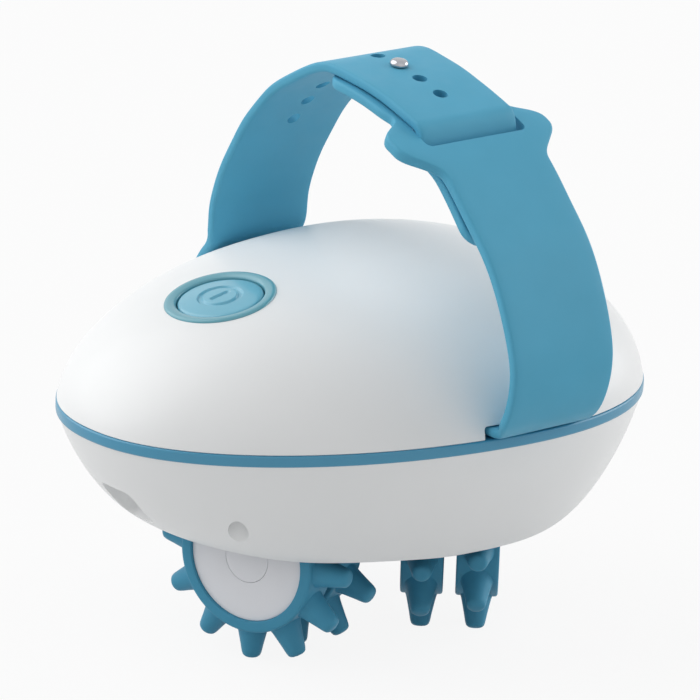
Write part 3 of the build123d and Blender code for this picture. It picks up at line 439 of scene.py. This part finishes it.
# Upper shell: its outer skin from the edge up, then its inner skin from the crown down
outer = dome_rings(0.0)
edge = dome_edge(UPPER - SEAM)
first = ring(edge, edge, TOP_X * (1 - edge), UPPER, -0.3)
outer[0] = ring(edge, edge, TOP_X * (1 - edge), UPPER + 0.22, 0.0)
inner = dome_rings(-WALL)[::-1]
rings = [first] + outer
count = len(rings[0])
vertices = [p for r in rings for p in r] + [np.array([TOP_X, 0.0, SEAM + RISE])]
crown = len(vertices) - 1
faces = grid_faces(len(rings), count)
base = (len(rings) - 1) * count
faces += [(base + j, base + (j + 1) % count, crown) for j in range(count)]
start = len(vertices)
vertices += [p for r in inner for p in r] + [np.array([TOP_X, 0.0, SEAM + RISE - WALL])]
faces += grid_faces(len(inner), count, start)
faces += [(start + (j + 1) % count, start + j, len(vertices) - 1) for j in range(count)]
base = start + (len(inner) - 1) * count
faces += [(base + j, base + (j + 1) % count, (j + 1) % count, j) for j in range(count)]
upper = new_object("upper_shell_skin", vertices, faces)
window = rounded_outline(WINDOW_WIDTH, WINDOW_RISE * 2, 0.9)
window_at = (STRAP_X + WINDOW_SHIFT, 0, UPPER)
windows = prism("window", window, window_at, (1, 0, 0), (0, 0, 1), (0, 1, 0), -70, 70)
seat = [(0.0, -9.0), (13.3, -9.0), (13.3, 4.0), (0.0, 4.0)]
seat = turned("seat", seat, in_button, 128)
cut(upper, [windows, seat])
keep(upper, "housing", "white_plastic", WHITE, "upper_shell")

# Trim ring
low = LOWER - TRIM_DROP
profile = [(-3.9, LOWER), (-0.3, LOWER), (-0.3, low), (-0.05, low + 0.08), (0.12, low + 0.3),
           (0.15, low + 0.6), (0.15, UPPER - 0.6), (0.12, UPPER - 0.3), (-0.05, UPPER - 0.08),
           (-0.3, UPPER), (-2.2, UPPER), (-3.9, UPPER)]
trim = stack("trim_band", [ring(1, 1, 0, z, g) for g, z in profile], loop=True)
keep(trim, "housing", "teal_plastic", TRIM, "trim_ring")

# Lower shell: its skin runs from the seam down to the well's mouth, up the well's wall and across its roof


def bowl_point(c, turn):
    """Distance from the head's axis and height of the bowl's surface, at a share of the way from the floor's
    edge to the seam and an azimuth about that axis. Shares under 0 lie on the flat floor."""
    k = max(c, 0.0)
    share_x, share_y = FOOT_X + (1 - FOOT_X) * k, FOOT_Y + (1 - FOOT_Y) * k
    x = ALONG_F * A * share_x + FOOT_SHIFT * (1 - k)
    y = ACROSS_F * B * (1 + EGG * ALONG_F) * share_y
    angle = np.unwrap(np.arctan2(y, x))
    angle = np.append(angle, angle[0] + 2 * math.pi)
    distance = np.append(np.hypot(x, y), np.hypot(x[0], y[0]))
    wrapped = angle[0] + (turn - angle[0]) % (2 * math.pi)
    rho = float(np.interp(wrapped, angle, distance)) * (1 + min(c, 0.0))
    height = SEAM - DROP * max(1 - k**BOWL_EDGE, 0.0) ** (1 / BOWL_FLOOR)
    return rho, height


FINE = np.linspace(0, 2 * math.pi, 2048, endpoint=False)
ALONG_F = np.sign(np.cos(FINE)) * np.abs(np.cos(FINE)) ** (2 / PLAN)
ACROSS_F = np.sign(np.sin(FINE)) * np.abs(np.sin(FINE)) ** (2 / PLAN)
top_share = (1 - ((SEAM - LOWER) / DROP) ** BOWL_FLOOR) ** (1 / BOWL_EDGE)
azimuths = np.linspace(0, 2 * math.pi, 288, endpoint=False)
lip = 0.7
columns = []
for turn in azimuths:
    low, high = -0.5, top_share
    for _ in range(40):
        middle = (low + high) / 2
        if bowl_point(middle, turn)[0] > WELL + lip:
            high = middle
        else:
            low = middle
    end = (low + high) / 2
    shares = end + (top_share - end) * (1 - np.sin(np.linspace(0, math.pi / 2, 52)))
    side = math.degrees(abs(math.remainder(turn, 2 * math.pi))) - HANG_AZIMUTH
    hang = 0.0
    if abs(side) < HANG_REACH:
        hang = FOOT_HANG * math.cos(math.radians(side * 90.0 / HANG_REACH)) ** 2
    column = [bowl_point(float(c), turn) for c in shares]
    column = [(r, z - hang * (1.0 - blend_step(c, 0.06, 0.55))) for c, (r, z) in zip(shares, column)]
    rim = column[0][0]
    column[:1] = [(rim - 0.3, LOWER), (rim, LOWER - 0.22)]
    start_point, mouth = np.array(column[-1]), bowl_point(end - 0.004, turn)
    mouth = (mouth[0], mouth[1] - hang * (1.0 - blend_step(end - 0.004, 0.06, 0.55)))
    direction = np.array(mouth) - start_point
    direction /= np.linalg.norm(direction)
    corner = start_point + direction * (lip / max(-direction[0], 0.2))
    corner[0] = WELL
    wall_point = np.array([WELL, corner[1] + lip])
    for share in (0.25, 0.5, 0.75, 1.0):
        p = (1 - share) ** 2 * start_point + 2 * share * (1 - share) * corner + share**2 * wall_point
        column.append(tuple(p))
    column += [(WELL, 44.0), (WELL, ROOF - 0.5), (WELL - 0.5, ROOF), (6.5, ROOF), (6.5, LOWER - 0.1),
               (45.0, LOWER - 0.1)]
    columns.append([(r * math.cos(turn), r * math.sin(turn), z) for r, z in column])
rings = [np.array([column[i] for column in columns]) for i in range(len(columns[0]))]
lower = stack("lower_shell_skin", rings, loop=True)
cutters = []
screw_well = [(0, 20.0), (SCREW_WELL, 20.0), (SCREW_WELL, 48.0), (0, 48.0)]
for x in (-SCREW_X, SCREW_X):
    for y in (-SCREW_Y, SCREW_Y):
        cutters.append(turned("screw_well", screw_well, about(np.array([x, y, 0.0]), *np.eye(3)), 48))
lean = math.radians(RECESS_LEAN)
RECESS_N = np.array([-math.cos(lean), 0.0, -math.sin(lean)])
RECESS_V = np.array([math.sin(lean), 0.0, -math.cos(lean)])
RECESS_O = np.array([RECESS_X, 0.0, RECESS_Z])
RECESS_U = np.array([0.0, 1.0, 0.0])
recess_rings = []
for inset, depth in ((0.9, -3.4), (0.35, -3.25), (0.1, -2.9), (0.0, -2.4), (0.0, 12.0)):
    outline = rounded_outline(RECESS_WIDTH - 2 * inset, RECESS_LENGTH - 2 * inset, 2.6 - inset * 0.5)
    recess_rings.append(np.array([RECESS_O + RECESS_U * u + RECESS_V * v + RECESS_N * depth
                                  for u, v in outline]))
cutters.append(stack("recess", recess_rings))
cut(lower, cutters)
keep(lower, "housing", "white_plastic", WHITE, "lower_shell")

# Bezel and button
bezel_profile = [(13.25, -1.6), (13.25, 0.1), (13.15, 0.3), (12.93, 0.44), (12.6, 0.5), (12.2, 0.46),
                 (11.6, 0.3), (11.0, 0.08), (10.7, -0.08), (10.53, -0.28), (10.45, -0.6), (10.45, -5.0),
                 (11.8, -5.0), (11.8, -1.6), (13.25, -1.6)]
bezel = turned("bezel_ring", bezel_profile, on_dome, 160)
keep(bezel, "housing", "teal_plastic", BEZEL, "button_bezel")


def pressed(distance):
    """1 inside the sign's groove and 0 outside it, by distance from its middle line, with a soft step."""
    return np.clip((SIGN_HALF - distance) / SIGN_SOFT + 0.5, 0, 1)


def button_place(r, turn, lift):
    """The button's skin, with the sign pressed into its top."""
    x, y = r * np.cos(turn), r * np.sin(turn)
    ring_groove = pressed(abs(r - SIGN_RING))
    bar_groove = pressed(np.hypot(np.maximum(np.abs(x) - SIGN_BAR, 0.0), y))
    depth = SIGN_DEPTH * np.maximum(ring_groove, bar_groove) if lift > -0.6 else 0.0
    return on_dome(r, turn, lift - depth)


radii = [v for low, high, step in ((0.0, 4.1, 0.12), (4.1, 5.5, 0.07), (5.6, 9.3, 0.35))
         for v in np.arange(low, high, step)]
radii = sorted(set(round(v, 3) for v in radii))
button_profile = [(r, -0.12 - 0.26 * (r / 10.2) ** 2) for r in radii]
button_profile += [(9.4, -0.36), (9.7, -0.42), (9.93, -0.54), (10.08, -0.74), (10.16, -1.0), (10.2, -1.4),
                   (10.2, -6.4), (0.0, -6.4)]
button = turned("button_top", button_profile, button_place, 200, 50.0)
keep(button, "button", "button_plastic", BUTTON, "power_button")

# Strap


class Curve:
    """A smooth curve through points across and above, by distance along it."""

    def __init__(self, points):
        p = np.asarray(points, float)
        t = np.concatenate([[0], np.cumsum(np.hypot(*np.diff(p, axis=0).T))])
        self.t, self.p, self.m = t, p, np.stack([self.slopes(t, p[:, k]) for k in range(2)], axis=1)
        fine = np.linspace(0, t[-1], 4000)
        q = self.raw(fine)
        self.fine, self.length_at = fine, np.concatenate([[0], np.cumsum(np.hypot(*np.diff(q, axis=0).T))])
        self.length = self.length_at[-1]

    @staticmethod
    def slopes(t, y):
        n = len(t)
        h, d = np.diff(t), np.diff(y) / np.diff(t)
        matrix, right = np.zeros((n, n)), np.zeros(n)
        for i in range(1, n - 1):
            matrix[i, i - 1], matrix[i, i], matrix[i, i + 1] = h[i], 2 * (h[i - 1] + h[i]), h[i - 1]
            right[i] = 3 * (h[i] * d[i - 1] + h[i - 1] * d[i])
        matrix[0, 0], matrix[0, 1], right[0] = 2, 1, 3 * d[0]
        matrix[-1, -1], matrix[-1, -2], right[-1] = 2, 1, 3 * d[-1]
        return np.linalg.solve(matrix, right)

    def raw(self, t):
        i = np.clip(np.searchsorted(self.t, t) - 1, 0, len(self.t) - 2)
        h = self.t[i + 1] - self.t[i]
        s = ((t - self.t[i]) / h)[:, None]
        h = h[:, None]
        return ((2 * s**3 - 3 * s**2 + 1) * self.p[i] + (s**3 - 2 * s**2 + s) * h * self.m[i]
                + (3 * s**2 - 2 * s**3) * self.p[i + 1] + (s**3 - s**2) * h * self.m[i + 1])

    def at(self, lengths):
        """Points, outward normals and directions at distances along the curve."""
        t = np.interp(lengths, self.length_at, self.fine)
        e = 1e-3
        p, a, b = self.raw(t), self.raw(np.maximum(t - e, 0)), self.raw(np.minimum(t + e, self.t[-1]))
        d = b - a
        d /= np.linalg.norm(d, axis=1)[:, None]
        return p, np.stack([-d[:, 1], d[:, 0]], axis=1), d

    def reach(self, across, low, high):
        """Distance along at which the curve reaches a place across the housing."""
        for _ in range(50):
            middle = (low + high) / 2
            if self.at(np.array([middle]))[0][0, 0] < across:
                low = middle
            else:
                high = middle
        return low


# The strap's middle line, across the housing and above its seam
LOOP_LINE = [(-ANCHOR_Y, ANCHOR_Z - SEAM), (-54.5, 3.0), (-58.8, 3.15), (-62.4, 5.3), (-65.2, 9.8),
             (-66.7, 15.4), (-66.9, 20.5), (-65.8, 25.8), (-63.7, 31.6), (-60.5, 38.4), (-55.9, 45.4),
             (-50.3, 51.4), (-44.7, 57.2), (-38.6, 62.4), (-31.7, 66.2), (-24.8, 68.8), (-18.4, 70.8),
             (-12.2, 72.3), (-6.0, 73.3), (0.0, 73.8), (3.4, 73.9)]
HOLE_LINE = [(10.4, 74.1), (16.7, 70.7), (23.0, 66.7), (28.2, 61.8), (33.1, 56.3), (37.3, 50.0),
             (41.2, 43.5), (44.1, 36.8), (45.6, 31.0), (45.8, 27.6), (46.2, 24.8), (47.5, 22.3),
             (49.7, 20.1), (52.1, 17.6), (54.6, 14.6), (57.0, 11.3), (59.2, 8.1), (60.3, 5.6), (59.7, 3.6),
             (57.7, 2.8), (54.5, 2.75), (ANCHOR_Y, ANCHOR_Z - SEAM)]
loop_curve = Curve([(y, SEAM + z) for y, z in LOOP_LINE])
quarter = 0.25 * loop_curve.length
near = loop_curve.reach(LOOP_NEAR, quarter, loop_curve.length)
far = loop_curve.reach(LOOP_FAR, quarter, loop_curve.length)
tail = loop_curve.reach(TAIL_END, quarter, loop_curve.length)
stud_at = loop_curve.reach(STUD_Y, quarter, loop_curve.length)


def beside(length, offset):
    """A point beside the loop half's line, where the other half runs over or under it."""
    p, n, _ = loop_curve.at(np.array([length]))
    return tuple(p[0] + n[0] * offset)


# The tail tucked under, the passage up through the slot, and the layer over the tongue
hole_points = [beside(tail + (near - tail) * k / 5, -LAYER - 0.85 * (1 - k / 5) ** 1.5) for k in range(5)]
hole_points += [beside(near + (far - near) * k / 8, -LAYER * math.cos(math.pi * min(k / 5, 1.0)))
                for k in range(9)]
hole_points += [beside(far + (loop_curve.length - far) * k / 4, LAYER) for k in range(1, 5)]
hole_points += [(y, SEAM + z) for y, z in HOLE_LINE]
hole_curve = Curve(hole_points)


def strap_width(z):
    return STRAP_BASE + (STRAP_TOP - STRAP_BASE) * np.clip((z - SEAM) / (STRAP_TOP_Z - SEAM), 0, 1)


def strap_band(name, curve, lengths, left, right, half_thicknesses, corner=0.8):
    """A band along a curve, with rounded edges, from its reach to each side and its half thickness."""
    points, normals, _ = curve.at(np.asarray(lengths))
    rings = []
    for p, n, a, b, h in zip(points, normals, left, right, half_thicknesses):
        c = min(corner, h * 0.98, a * 0.98)
        outline = []
        for side, rise, turn0 in ((1, 1, 0), (-1, 1, 90), (-1, -1, 180), (1, -1, 270)):
            reach = b if side > 0 else a
            for k in range(5):
                turn = math.radians(turn0 + 90 * k / 4)
                outline.append((side * (reach - c) + c * math.cos(turn), rise * (h - c) + c * math.sin(turn)))
            if turn0 in (0, 180):
                last = outline[-1]
                for k in range(1, 12):
                    outline.append((last[0] - side * (a + b - 2 * c) * k / 12, last[1]))
        rings.append(np.array([(STRAP_X + u, p[0] + n[0] * v, p[1] + n[1] * v) for u, v in outline]))
    return stack(name, rings, sharp=60.0)


def widened(off, flat, run):
    """Share of the loop's extra width at a distance past its middle, with softened corners. It holds to the
    distance flat and is gone at run."""
    offsets = np.linspace(off - LOOP_SOFT, off + LOOP_SOFT, 7)
    shares = [(run - o) / (run - flat) if o > 0 else (LOOP_LEAD + o) / LOOP_RAMP for o in offsets]
    return float(np.mean([min(max(share, 0.0), 1.0) for share in shares]))


def half_sizes(curve, from_bead, end_radius, loop=None):
    """Stations along a strap half, with its reach to the left and right and its half thickness at each.
    Distances run from its bead, the thick root in the housing. The loop half is given its loop's middle."""
    total = curve.length
    bead = np.linspace(0.0, 4.0, 14)
    body = np.linspace(4.4, total - end_radius - 0.01, int(total / 0.9))
    tip = total - end_radius + end_radius * np.sin(np.linspace(0, math.pi / 2, 18))
    distances = np.concatenate([bead, body, tip])
    lengths = distances if from_bead else total - distances
    points = curve.at(lengths)[0]
    left, right, heights = [], [], []
    for d, length, p in zip(distances, lengths, points):
        a = b = strap_width(p[1]) / 2
        h = STRAP_T / 2
        if loop is not None:  # a wider tongue under the other half, and the loop, which is thicker too
            a += TONGUE_LEFT * blend_step(p[0], -26.0, -18.0) * (1 - blend_step(p[0], -4.0, 3.0))
            b += TONGUE_RIGHT
            a += (LOOP_LEFT - a) * widened(length - loop, 1.7, 6.9)
            b += (LOOP_RIGHT - b) * widened(length - loop, 0.0, 4.9)
            h += 0.28 * widened(length - loop, 1.7, 6.9)
        else:  # narrower toward its end, to pass through the slot
            taper = float(np.clip((12.0 - p[0]) / 30.0, 0, 1))
            a, b = a + (TAIL_LEFT - a) * taper, b + (TAIL_RIGHT - b) * taper
        base = blend_step(16.0 - d, 0.0, 8.0)  # both halves thin down into the housing's windows
        h -= 0.12 * base
        a, b = a - 3.0 * base, b - (0.7 * base if loop is None else 0.0)
        if loop is None:  # the far side low down, thinner and narrower on the left
            behind = float(np.clip((86.0 - p[1]) / 14.0, 0, 1)) if p[0] > 0 else 0.0
            h -= 0.35 * behind * (1 - base)
            a = min(a, strap_width(p[1]) / 2 - 2.4 * behind)
        if d < BEAD:
            h = max(h, math.sqrt(max(BEAD**2 - d * d, 0.0)))
        rest = total - d  # the round end, and its edge
        if rest < end_radius:
            pull = end_radius - math.sqrt(max(end_radius**2 - (end_radius - rest) ** 2, 0.0))
            a, b = a - pull, b - pull
        if rest < 0.9:
            h *= 0.35 + 0.65 * math.sqrt(max(1 - (1 - rest / 0.9) ** 2, 0.0))
        left.append(a)
        right.append(b)
        heights.append(h)
    order = np.argsort(lengths)
    return lengths[order], np.array(left)[order], np.array(right)[order], np.array(heights)[order]


def strap_cutter(curve, length, outline, depth=6.0):
    p, n, d = (v[0] for v in curve.at(np.array([length])))
    return prism("strap_cut", outline, (STRAP_X, *p), (1, 0, 0), (0, *d), (0, *n), -depth, depth)


def circle(radius, shift, steps=40):
    """A circle as an outline, shifted to one side."""
    turns = [2 * math.pi * k / steps for k in range(steps)]
    return [(shift + radius * math.cos(turn), radius * math.sin(turn)) for turn in turns]


slot_at = (near + far) / 2
loop_half = strap_band("strap_loop", loop_curve, *half_sizes(loop_curve, True, 6.0, slot_at))
slot = rounded_outline(SLOT_WIDTH, SLOT_SHARE * (far - near), 1.6)
cut(loop_half, [strap_cutter(loop_curve, near + SLOT_SHARE / 2 * (far - near), slot, 4.0)], 50.0)
keep(loop_half, "housing", "strap_rubber", STRAP, "strap_loop_half")

stud_over = hole_curve.reach(beside(stud_at, LAYER)[0], 0.0, 0.6 * hole_curve.length)
hole_half = strap_band("strap_holes", hole_curve, *half_sizes(hole_curve, False, 5.0))
hole = circle(HOLE_RADIUS, HOLE_X)
cut(hole_half, [strap_cutter(hole_curve, stud_over + HOLE_STEP * k, hole) for k in range(-2, 7)], 50.0)
keep(hole_half, "housing", "strap_rubber", STRAP, "strap_hole_half")

# Stud
stud_p, stud_n, stud_d = (v[0] for v in loop_curve.at(np.array([stud_at])))
stud_place = about(np.array([STRAP_X + HOLE_X, *stud_p]), np.array([1.0, 0.0, 0.0]),
                   np.array([0.0, *stud_d]), np.array([0.0, *stud_n]))
stud_profile = [(0, -2.12), (3.0, -2.12), (3.2, -1.92), (3.2, -1.4), (3.1, -1.32), (1.5, -1.32), (1.5, 3.9),
                (2.0, 3.95), (2.2, 4.15), (2.2, 4.5), (2.12, 4.85), (1.85, 5.2), (1.4, 5.45), (0.8, 5.57),
                (0, 5.6)]
stud = turned("stud_button", stud_profile, stud_place, 64)
keep(stud, "housing", "stud_metal", STUD, "strap_stud")

# Rollers


def arm_place(angle, distance, spin=0.0):
    """The frame of a roller's place on the arm at an angle: out along the arm, to its side and down."""
    turn0, spin = math.radians(angle), math.radians(spin)
    out = np.array([math.cos(turn0), math.sin(turn0), 0.0])
    side = np.array([-math.sin(turn0), math.cos(turn0), 0.0])
    down = np.array([0.0, 0.0, -1.0])
    centre = out * distance + np.array([0.0, 0.0, AXLE_Z])
    flat = about(centre, down, side, out)

    def place(r, turn, height):
        return flat(r, turn + spin, height)

    return place, centre, out, side, down


def rounded_profile(corners, steps=4):
    """A closed profile with rounded corners: (radius, height, rounding) triples."""
    points = []
    n = len(corners)
    for i, (r, h, c) in enumerate(corners):
        if c <= 0:
            points.append((r, h))
            continue
        here = np.array([r, h])
        before = np.array(corners[i - 1][:2]) - here
        after = np.array(corners[(i + 1) % n][:2]) - here
        before, after = before / np.linalg.norm(before) * c, after / np.linalg.norm(after) * c
        for k in range(steps + 1):
            s = k / steps
            bend = (1 - s) ** 2 * (here + before) + 2 * s * (1 - s) * here + s**2 * (here + after)
            points.append(tuple(bend))
    return points


TYRE_PROFILE = rounded_profile([(15.2, -5.1, 0.25), (18.0, -5.1, 0.8), (18.0, 5.1, 0.8), (15.2, 5.1, 0.25)])
TYRE_PROFILE.append(TYRE_PROFILE[0])
SPIKE_PROFILE = [(4.25, 16.9), (4.0, 17.7), (3.8, 18.15), (3.6, 18.7), (3.32, 19.9), (3.02, 21.3),
                 (2.74, 22.6), (2.5, 23.9), (2.34, 24.6), (2.12, 25.2), (1.75, 25.55), (1.24, 25.75),
                 (0.66, 25.83), (0.0, 25.85)]
OUTER_HUB = rounded_profile([(15.18, -4.3, 0.15), (15.18, 4.3, 0.2), (5.88, 4.3, 0.08), (5.88, 2.5, 0),
                             (2.55, 2.5, 0), (2.55, -6.5, 0), (5.0, -6.5, 0.2), (5.0, -4.3, 0.3)])
INNER_HUB = rounded_profile([(15.18, -4.3, 0.15), (15.18, 4.3, 0.15), (5.0, 4.3, 0.3), (5.0, 6.5, 0.2),
                             (2.55, 6.5, 0), (2.55, -6.2, 0), (5.0, -6.2, 0.2), (5.0, -4.3, 0.3)])
CAP = rounded_profile([(0.0, 4.3, 0), (5.8, 4.3, 0.1), (5.8, 2.8, 0), (4.5, 2.8, 0), (4.5, 3.5, 0),
                       (0.0, 3.5, 0)])
for profile in (OUTER_HUB, INNER_HUB):
    profile.append(profile[0])

for number, angle in enumerate(ARMS, start=1):
    for name, distance, spins in ROLLERS:
        spin = spins[number - 1]
        body = f"roller_{name}_{number}"
        place, centre, out, side, down = arm_place(angle, distance, spin)
        pieces = [turned("drum", TYRE_PROFILE, place, 120)]
        for k in range(SPIKES):
            turn = 2 * math.pi * k / SPIKES + math.radians(spin)
            up = down * math.cos(turn) + side * math.sin(turn)
            over = -down * math.sin(turn) + side * math.cos(turn)
            pieces.append(turned("spike", SPIKE_PROFILE, about(centre, out, over, up), 32))
        tyre = joined(f"spiked_tyre_{name}_{number}", pieces)
        keep(tyre, body, "tyre_rubber", TYRE, f"tyre_{name}_{number}")
        hub = turned(f"roller_hub_{name}_{number}", OUTER_HUB if name == "outer" else INNER_HUB, place, 120)
        keep(hub, body, "white_plastic", HUB_WHITE, f"hub_{name}_{number}")
    place = arm_place(angle, ROLLERS[0][1])[0]
    cap = turned(f"hub_cap_{number}", CAP, place, 72)
    keep(cap, "head", "white_plastic", HUB_WHITE, f"axle_cap_{number}")

# Turning head: plate, column, pads and gussets as one moulding
upright = about(np.zeros(3), *np.eye(3))
plate = rounded_profile([(4.02, 55.5, 0), (43.5, 55.5, 0.4), (43.5, 53.0, 0.4), (14.0, 53.0, 2.0),
                         (14.0, 20.0, 1.6), (3.9, 20.0, 0), (3.9, 29.0, 0), (2.0, 29.0, 0), (2.0, 32.0, 0),
                         (4.02, 32.0, 0)])
plate.append(plate[0])
pieces = [turned("plate", plate, upright, 160)]
for angle in ARMS:
    place = arm_place(angle, 0.0)[0]
    pad = rounded_profile([(2.52, 6.5, 0), (6.0, 6.5, 0), (6.0, 15.0, 0.3), (2.52, 15.0, 0)])
    pad.append(pad[0])
    pieces.append(turned("pad", pad, place, 72))
    turn = math.radians(angle + 60)
    along = np.array([math.cos(turn), math.sin(turn), 0.0])
    side = np.array([-math.sin(turn), math.cos(turn), 0.0])
    outline = [(13.0, 26.0), (16.0, 26.0), (41.0, 51.0), (41.0, 53.2), (13.0, 53.2)]
    rings = []
    for inset, half in ((0.35, -1.5), (0.0, -1.2), (0.0, 1.2), (0.35, 1.5)):
        middle = np.mean(outline, axis=0)
        flat = []
        for u, z in outline:
            d = middle - np.array([u, z])
            d = d / np.linalg.norm(d) * inset
            flat.append(along * (u + d[0]) + side * half + np.array([0.0, 0.0, z + d[1]]))
        rings.append(np.array(flat))
    pieces.append(stack("gusset", rings))
head = joined("head_moulding", pieces)
keep(head, "head", "white_plastic", HUB_WHITE, "rotating_head")

cap = rounded_profile([(0.0, 17.0, 0), (11.5, 17.0, 2.0), (11.5, 20.0, 0.2), (3.9, 20.0, 0), (3.9, 26.1, 0),
                       (0.0, 26.1, 0)])
cap = turned("head_cover", cap, upright, 96)
keep(cap, "head", "white_plastic", HUB_WHITE, "head_cap")

# Floor and light


def seen(tree):
    """1 for rays that show the background: straight to the camera, mirrored or through glass."""
    path = tree.nodes.new("ShaderNodeLightPath")
    value = path.outputs["Is Camera Ray"]
    for kind in ("Is Glossy Ray", "Is Transmission Ray"):
        larger = tree.nodes.new("ShaderNodeMath")
        larger.operation = "MAXIMUM"
        tree.links.new(value, larger.inputs[0])
        tree.links.new(path.outputs[kind], larger.inputs[1])
        value = larger.outputs["Value"]
    return value


bpy.ops.mesh.primitive_plane_add(size=60.0, location=(0, 0, 0))
floor = bpy.context.active_object
floor.name = "floor"
material, tree, shader = nodes_of("floor")
pale = tinted(tree, noise(tree, 3.0, 2.0), (0.7, 0.7, 0.7), (0.72, 0.72, 0.72))
tree.links.new(pale, shader.inputs["Base Color"])
shader.inputs["Roughness"].default_value = 0.9
shader.inputs["Specular IOR Level"].default_value = 0.1
glow = tree.nodes.new("ShaderNodeEmission")
glow.inputs["Color"].default_value = (1, 1, 1, 1)
glow.inputs["Strength"].default_value = 1.0
share = tree.nodes.new("ShaderNodeMath")
share.operation = "MULTIPLY"
share.inputs[1].default_value = 0.9
tree.links.new(seen(tree), share.inputs[0])
mix = tree.nodes.new("ShaderNodeMixShader")
tree.links.new(share.outputs["Value"], mix.inputs["Fac"])
tree.links.new(shader.outputs["BSDF"], mix.inputs[1])
tree.links.new(glow.outputs["Emission"], mix.inputs[2])
tree.links.new(mix.outputs["Shader"], tree.nodes["Material Output"].inputs["Surface"])
floor.data.materials.append(material)

world = bpy.data.worlds.new("studio")
bpy.context.scene.world = world
world.use_nodes = True
tree = world.node_tree
background = tree.nodes["Background"]
background.inputs["Color"].default_value = (0.98, 0.99, 1.0, 1)
background.inputs["Strength"].default_value = 0.46
white = tree.nodes.new("ShaderNodeBackground")
white.inputs["Color"].default_value = (1, 1, 1, 1)
white.inputs["Strength"].default_value = 1.0
mix = tree.nodes.new("ShaderNodeMixShader")
tree.links.new(seen(tree), mix.inputs["Fac"])
tree.links.new(background.outputs["Background"], mix.inputs[1])
tree.links.new(white.outputs["Background"], mix.inputs[2])
tree.links.new(mix.outputs["Shader"], tree.nodes["World Output"].inputs["Surface"])


def sun(name, turn, height, strength, angle):
    """A soft lamp, its turn measured from the camera toward the right of the picture."""
    turn, height = math.radians(turn + CAMERA_AZIMUTH), math.radians(height)
    direction = Vector((math.sin(turn) * math.cos(height), -math.cos(turn) * math.cos(height),
                        math.sin(height)))
    lamp = bpy.data.lights.new(name, "SUN")
    lamp.energy = strength
    lamp.angle = math.radians(angle)
    obj = bpy.data.objects.new(name, lamp)
    obj.rotation_mode = "QUATERNION"
    obj.rotation_quaternion = direction.to_track_quat("Z", "Y")
    bpy.context.scene.collection.objects.link(obj)


sun("key", -102.0, 40.0, 1.85, 72.0)
sun("side", 112.0, 14.0, 1.3, 44.0)
sun("fill", 25.0, 28.0, 0.1, 60.0)

# Camera, fitted to the photograph's frame of 700 by 700 pixels
azimuth, elevation, roll = math.radians(CAMERA_AZIMUTH), math.radians(18.0), math.radians(2.01)
focal, distance, centre_x, centre_y = 5046.45, 1.2005, 340.1, 379.65
back = Vector((math.sin(azimuth) * math.cos(elevation), -math.cos(azimuth) * math.cos(elevation),
               math.sin(elevation)))
right = Vector((math.cos(azimuth), math.sin(azimuth), 0.0))
up = back.cross(right)
camera_right = right * math.cos(roll) + up * math.sin(roll)
camera_up = up * math.cos(roll) - right * math.sin(roll)
camera = bpy.data.cameras.new("camera")
camera_object = bpy.data.objects.new("camera", camera)
bpy.context.scene.collection.objects.link(camera_object)
camera_object.matrix_world = Matrix((
    (camera_right.x, camera_up.x, back.x, back.x * distance),
    (camera_right.y, camera_up.y, back.y, back.y * distance),
    (camera_right.z, camera_up.z, back.z, back.z * distance + SEAM * 0.001),
    (0, 0, 0, 1),
))
camera.sensor_width = 36.0
camera.lens = focal / FRAME_PX * camera.sensor_width
camera.shift_x = (FRAME_PX / 2 - centre_x) / FRAME_PX
camera.shift_y = (centre_y - FRAME_PX / 2) / FRAME_PX
camera.clip_start, camera.clip_end = 0.05, 100.0
bpy.context.scene.camera = camera_object
bpy.context.scene.view_settings.view_transform = "Standard"
